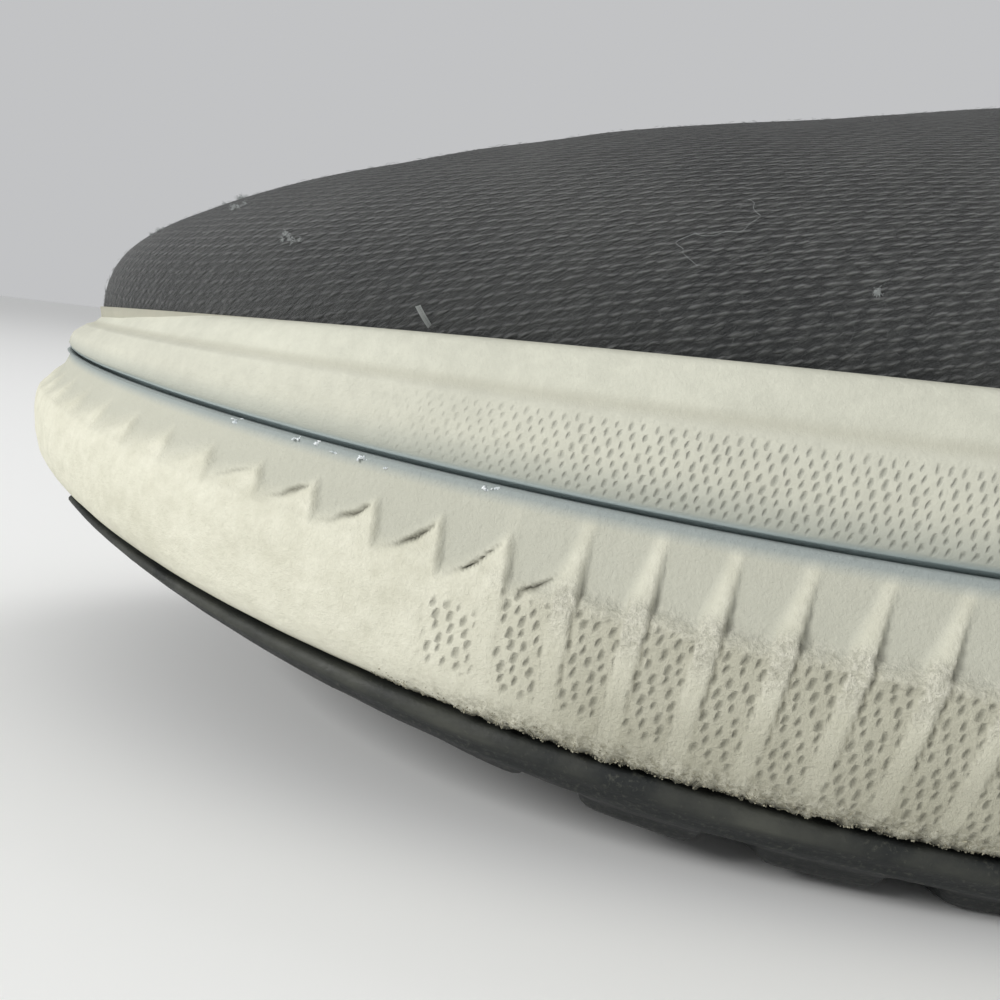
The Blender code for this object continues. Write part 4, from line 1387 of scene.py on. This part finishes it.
# Crumbs
# Bits of foam, crushed loose where the lower foam chafes on the rubber, that still hang at
# the seam, and chalky specks dried into the lip of the groove.
# Along the outline from the tip, the part of the way down, and how long each speck is
GROOVE_SPECKS = (
    (0.0455, 0.020, 0.7),
    (0.0515, 0.020, 0.5),
    (0.0532, 0.012, 0.6),
    (0.0548, 0.035, 0.4),
    (0.0572, 0.028, 0.5),
    (0.0590, 0.045, 0.3),
    (0.0665, 0.028, 0.5),
    (0.0671, 0.014, 0.5),
)
CRUMB_COUNT = 1600


def crumb_mesh(name, places, material):
    """Small lumps, each a few faces, squashed and turned as its place says."""
    lumps = bmesh.new()
    for point, size, turn in places:
        made = bmesh.ops.create_icosphere(lumps, subdivisions=1, radius=1.0)
        bmesh.ops.scale(lumps, vec=size, verts=made["verts"])
        matrix = Quaternion(turn[:3], turn[3]).to_matrix()
        bmesh.ops.rotate(lumps, cent=(0, 0, 0), matrix=matrix, verts=made["verts"])
        bmesh.ops.translate(lumps, vec=point, verts=made["verts"])
    piece = as_piece(name, lumps)
    piece.data.materials.append(material)
    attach(piece, "root")
    return piece


def broken_foam(name, dark, light):
    """Torn EVA foam: open cells catch dust, so every crumb has its own grey or cream."""
    material, tree, surface = finish(name)
    place = add(tree, "TexCoord").outputs["Object"]
    spots = add(tree, "TexNoise", Vector=place, Scale=2200, Detail=3, Roughness=0.7)
    spread = add(tree, "MapRange", Value=spots, From_Min=0.36, From_Max=0.64)
    colour = add(tree, "Mix", "RGBA", Factor=spread, A=dark, B=light)
    bump = add(tree, "Bump", Height=spots, Strength=0.8, Distance=0.00010)
    feed(tree, surface, Base_Color=colour, Roughness=0.9, Normal=bump)
    return material


crumb_along = chance.uniform(0.060, 0.108, CRUMB_COUNT)
crumb_down = 1.0 - np.abs(chance.normal(0, 0.030, CRUMB_COUNT))
at_seam, _, _ = place_midsole(crumb_along / AROUND, crumb_down)
crumbs = []
for point in at_seam:
    size = chance.uniform(0.03, 0.09) * MM
    crumbs.append((
        Vector(point),
        (size, size * chance.uniform(0.6, 1.0), size * chance.uniform(0.5, 1.0)),
        (*chance.normal(size=3), chance.uniform(0, 6.28)),
    ))
torn_foam = broken_foam("torn_foam", "#6E6A5A", "#B5B19C")
edge_crumbs = crumb_mesh("edge_crumbs", crumbs, torn_foam)

specks = []
for along, down, long in GROOVE_SPECKS:
    centre, _, _ = place_midsole(np.array([along / AROUND]), np.array([down]))
    for _ in range(9):
        shift = chance.normal(size=3) * np.array([0.34, 0.06, 0.14]) * long * MM
        size = chance.uniform(0.12, 0.30) * long * MM
        specks.append((
            Vector(centre[0] + shift),
            (size * 1.6, size * 0.7, size * 0.8),
            (*chance.normal(size=3), chance.uniform(0, 6.28)),
        ))
dried_chalk = broken_foam("dried_chalk", "#C4CCCF", "#F0F3F4")
dried_specks = crumb_mesh("dried_specks", specks, dried_chalk)


# Studio
# A pale floor, soft light from the toe's side and above, and the camera close by the toe,
# where the photograph was taken from: low, near the outer side, and slightly rolled.
floor_grid = bmesh.new()
bmesh.ops.create_grid(floor_grid, x_segments=1, y_segments=1, size=4.0)
studio_floor = as_piece("studio_floor", floor_grid)
paper, paper_tree, paper_surface = finish("matt_white_paper")
feed(paper_tree, paper_surface, Base_Color="#F4F4F2", Roughness=0.9)
studio_floor.data.materials.append(paper)

sky = bpy.data.worlds.new("soft_studio")
sky.use_nodes = True
feed(sky.node_tree, sky.node_tree.nodes["Background"], Color="#F7F8FA", Strength=0.58)
bpy.context.scene.world = sky
bpy.context.scene.view_settings.view_transform = "Standard"

LAMPS = (
    ("key", (-0.80, -0.38, 0.46), 0.26, 5.0),
    ("back", (0.30, 0.60, 0.90), 0.60, 2.0),
)
AIM = Vector((-0.08, 0.0, 0.03))
for name, place, size, power in LAMPS:
    lamp = bpy.data.lights.new(name, "AREA")
    lamp.size = size
    lamp.energy = power
    holder = bpy.data.objects.new(name, lamp)
    holder.location = place
    holder.rotation_euler = (AIM - Vector(place)).to_track_quat("-Z", "Y").to_euler()
    bpy.context.scene.collection.objects.link(holder)

CAMERA_AT = (-0.11955, -0.10835, 0.0346)
CAMERA_YAW, CAMERA_PITCH, CAMERA_ROLL = (math.radians(a) for a in (-9.42, -7.72, 6.87))
CAMERA_FOCUS = 1132 / 1000 * 36  # millimetres, on a sensor 36 mm wide
lens = bpy.data.cameras.new("camera")
lens.sensor_width = 36
lens.lens = CAMERA_FOCUS
lens.clip_start = 0.001
camera = bpy.data.objects.new("camera", lens)
camera.location = CAMERA_AT
looking = Vector((
    -math.sin(CAMERA_YAW) * math.cos(CAMERA_PITCH),
    math.cos(CAMERA_YAW) * math.cos(CAMERA_PITCH),
    math.sin(CAMERA_PITCH),
))
camera.rotation_mode = "QUATERNION"
rolled = Quaternion((0, 0, 1), CAMERA_ROLL)
camera.rotation_quaternion = looking.to_track_quat("-Z", "Y") @ rolled
bpy.context.scene.collection.objects.link(camera)
bpy.context.scene.camera = camera
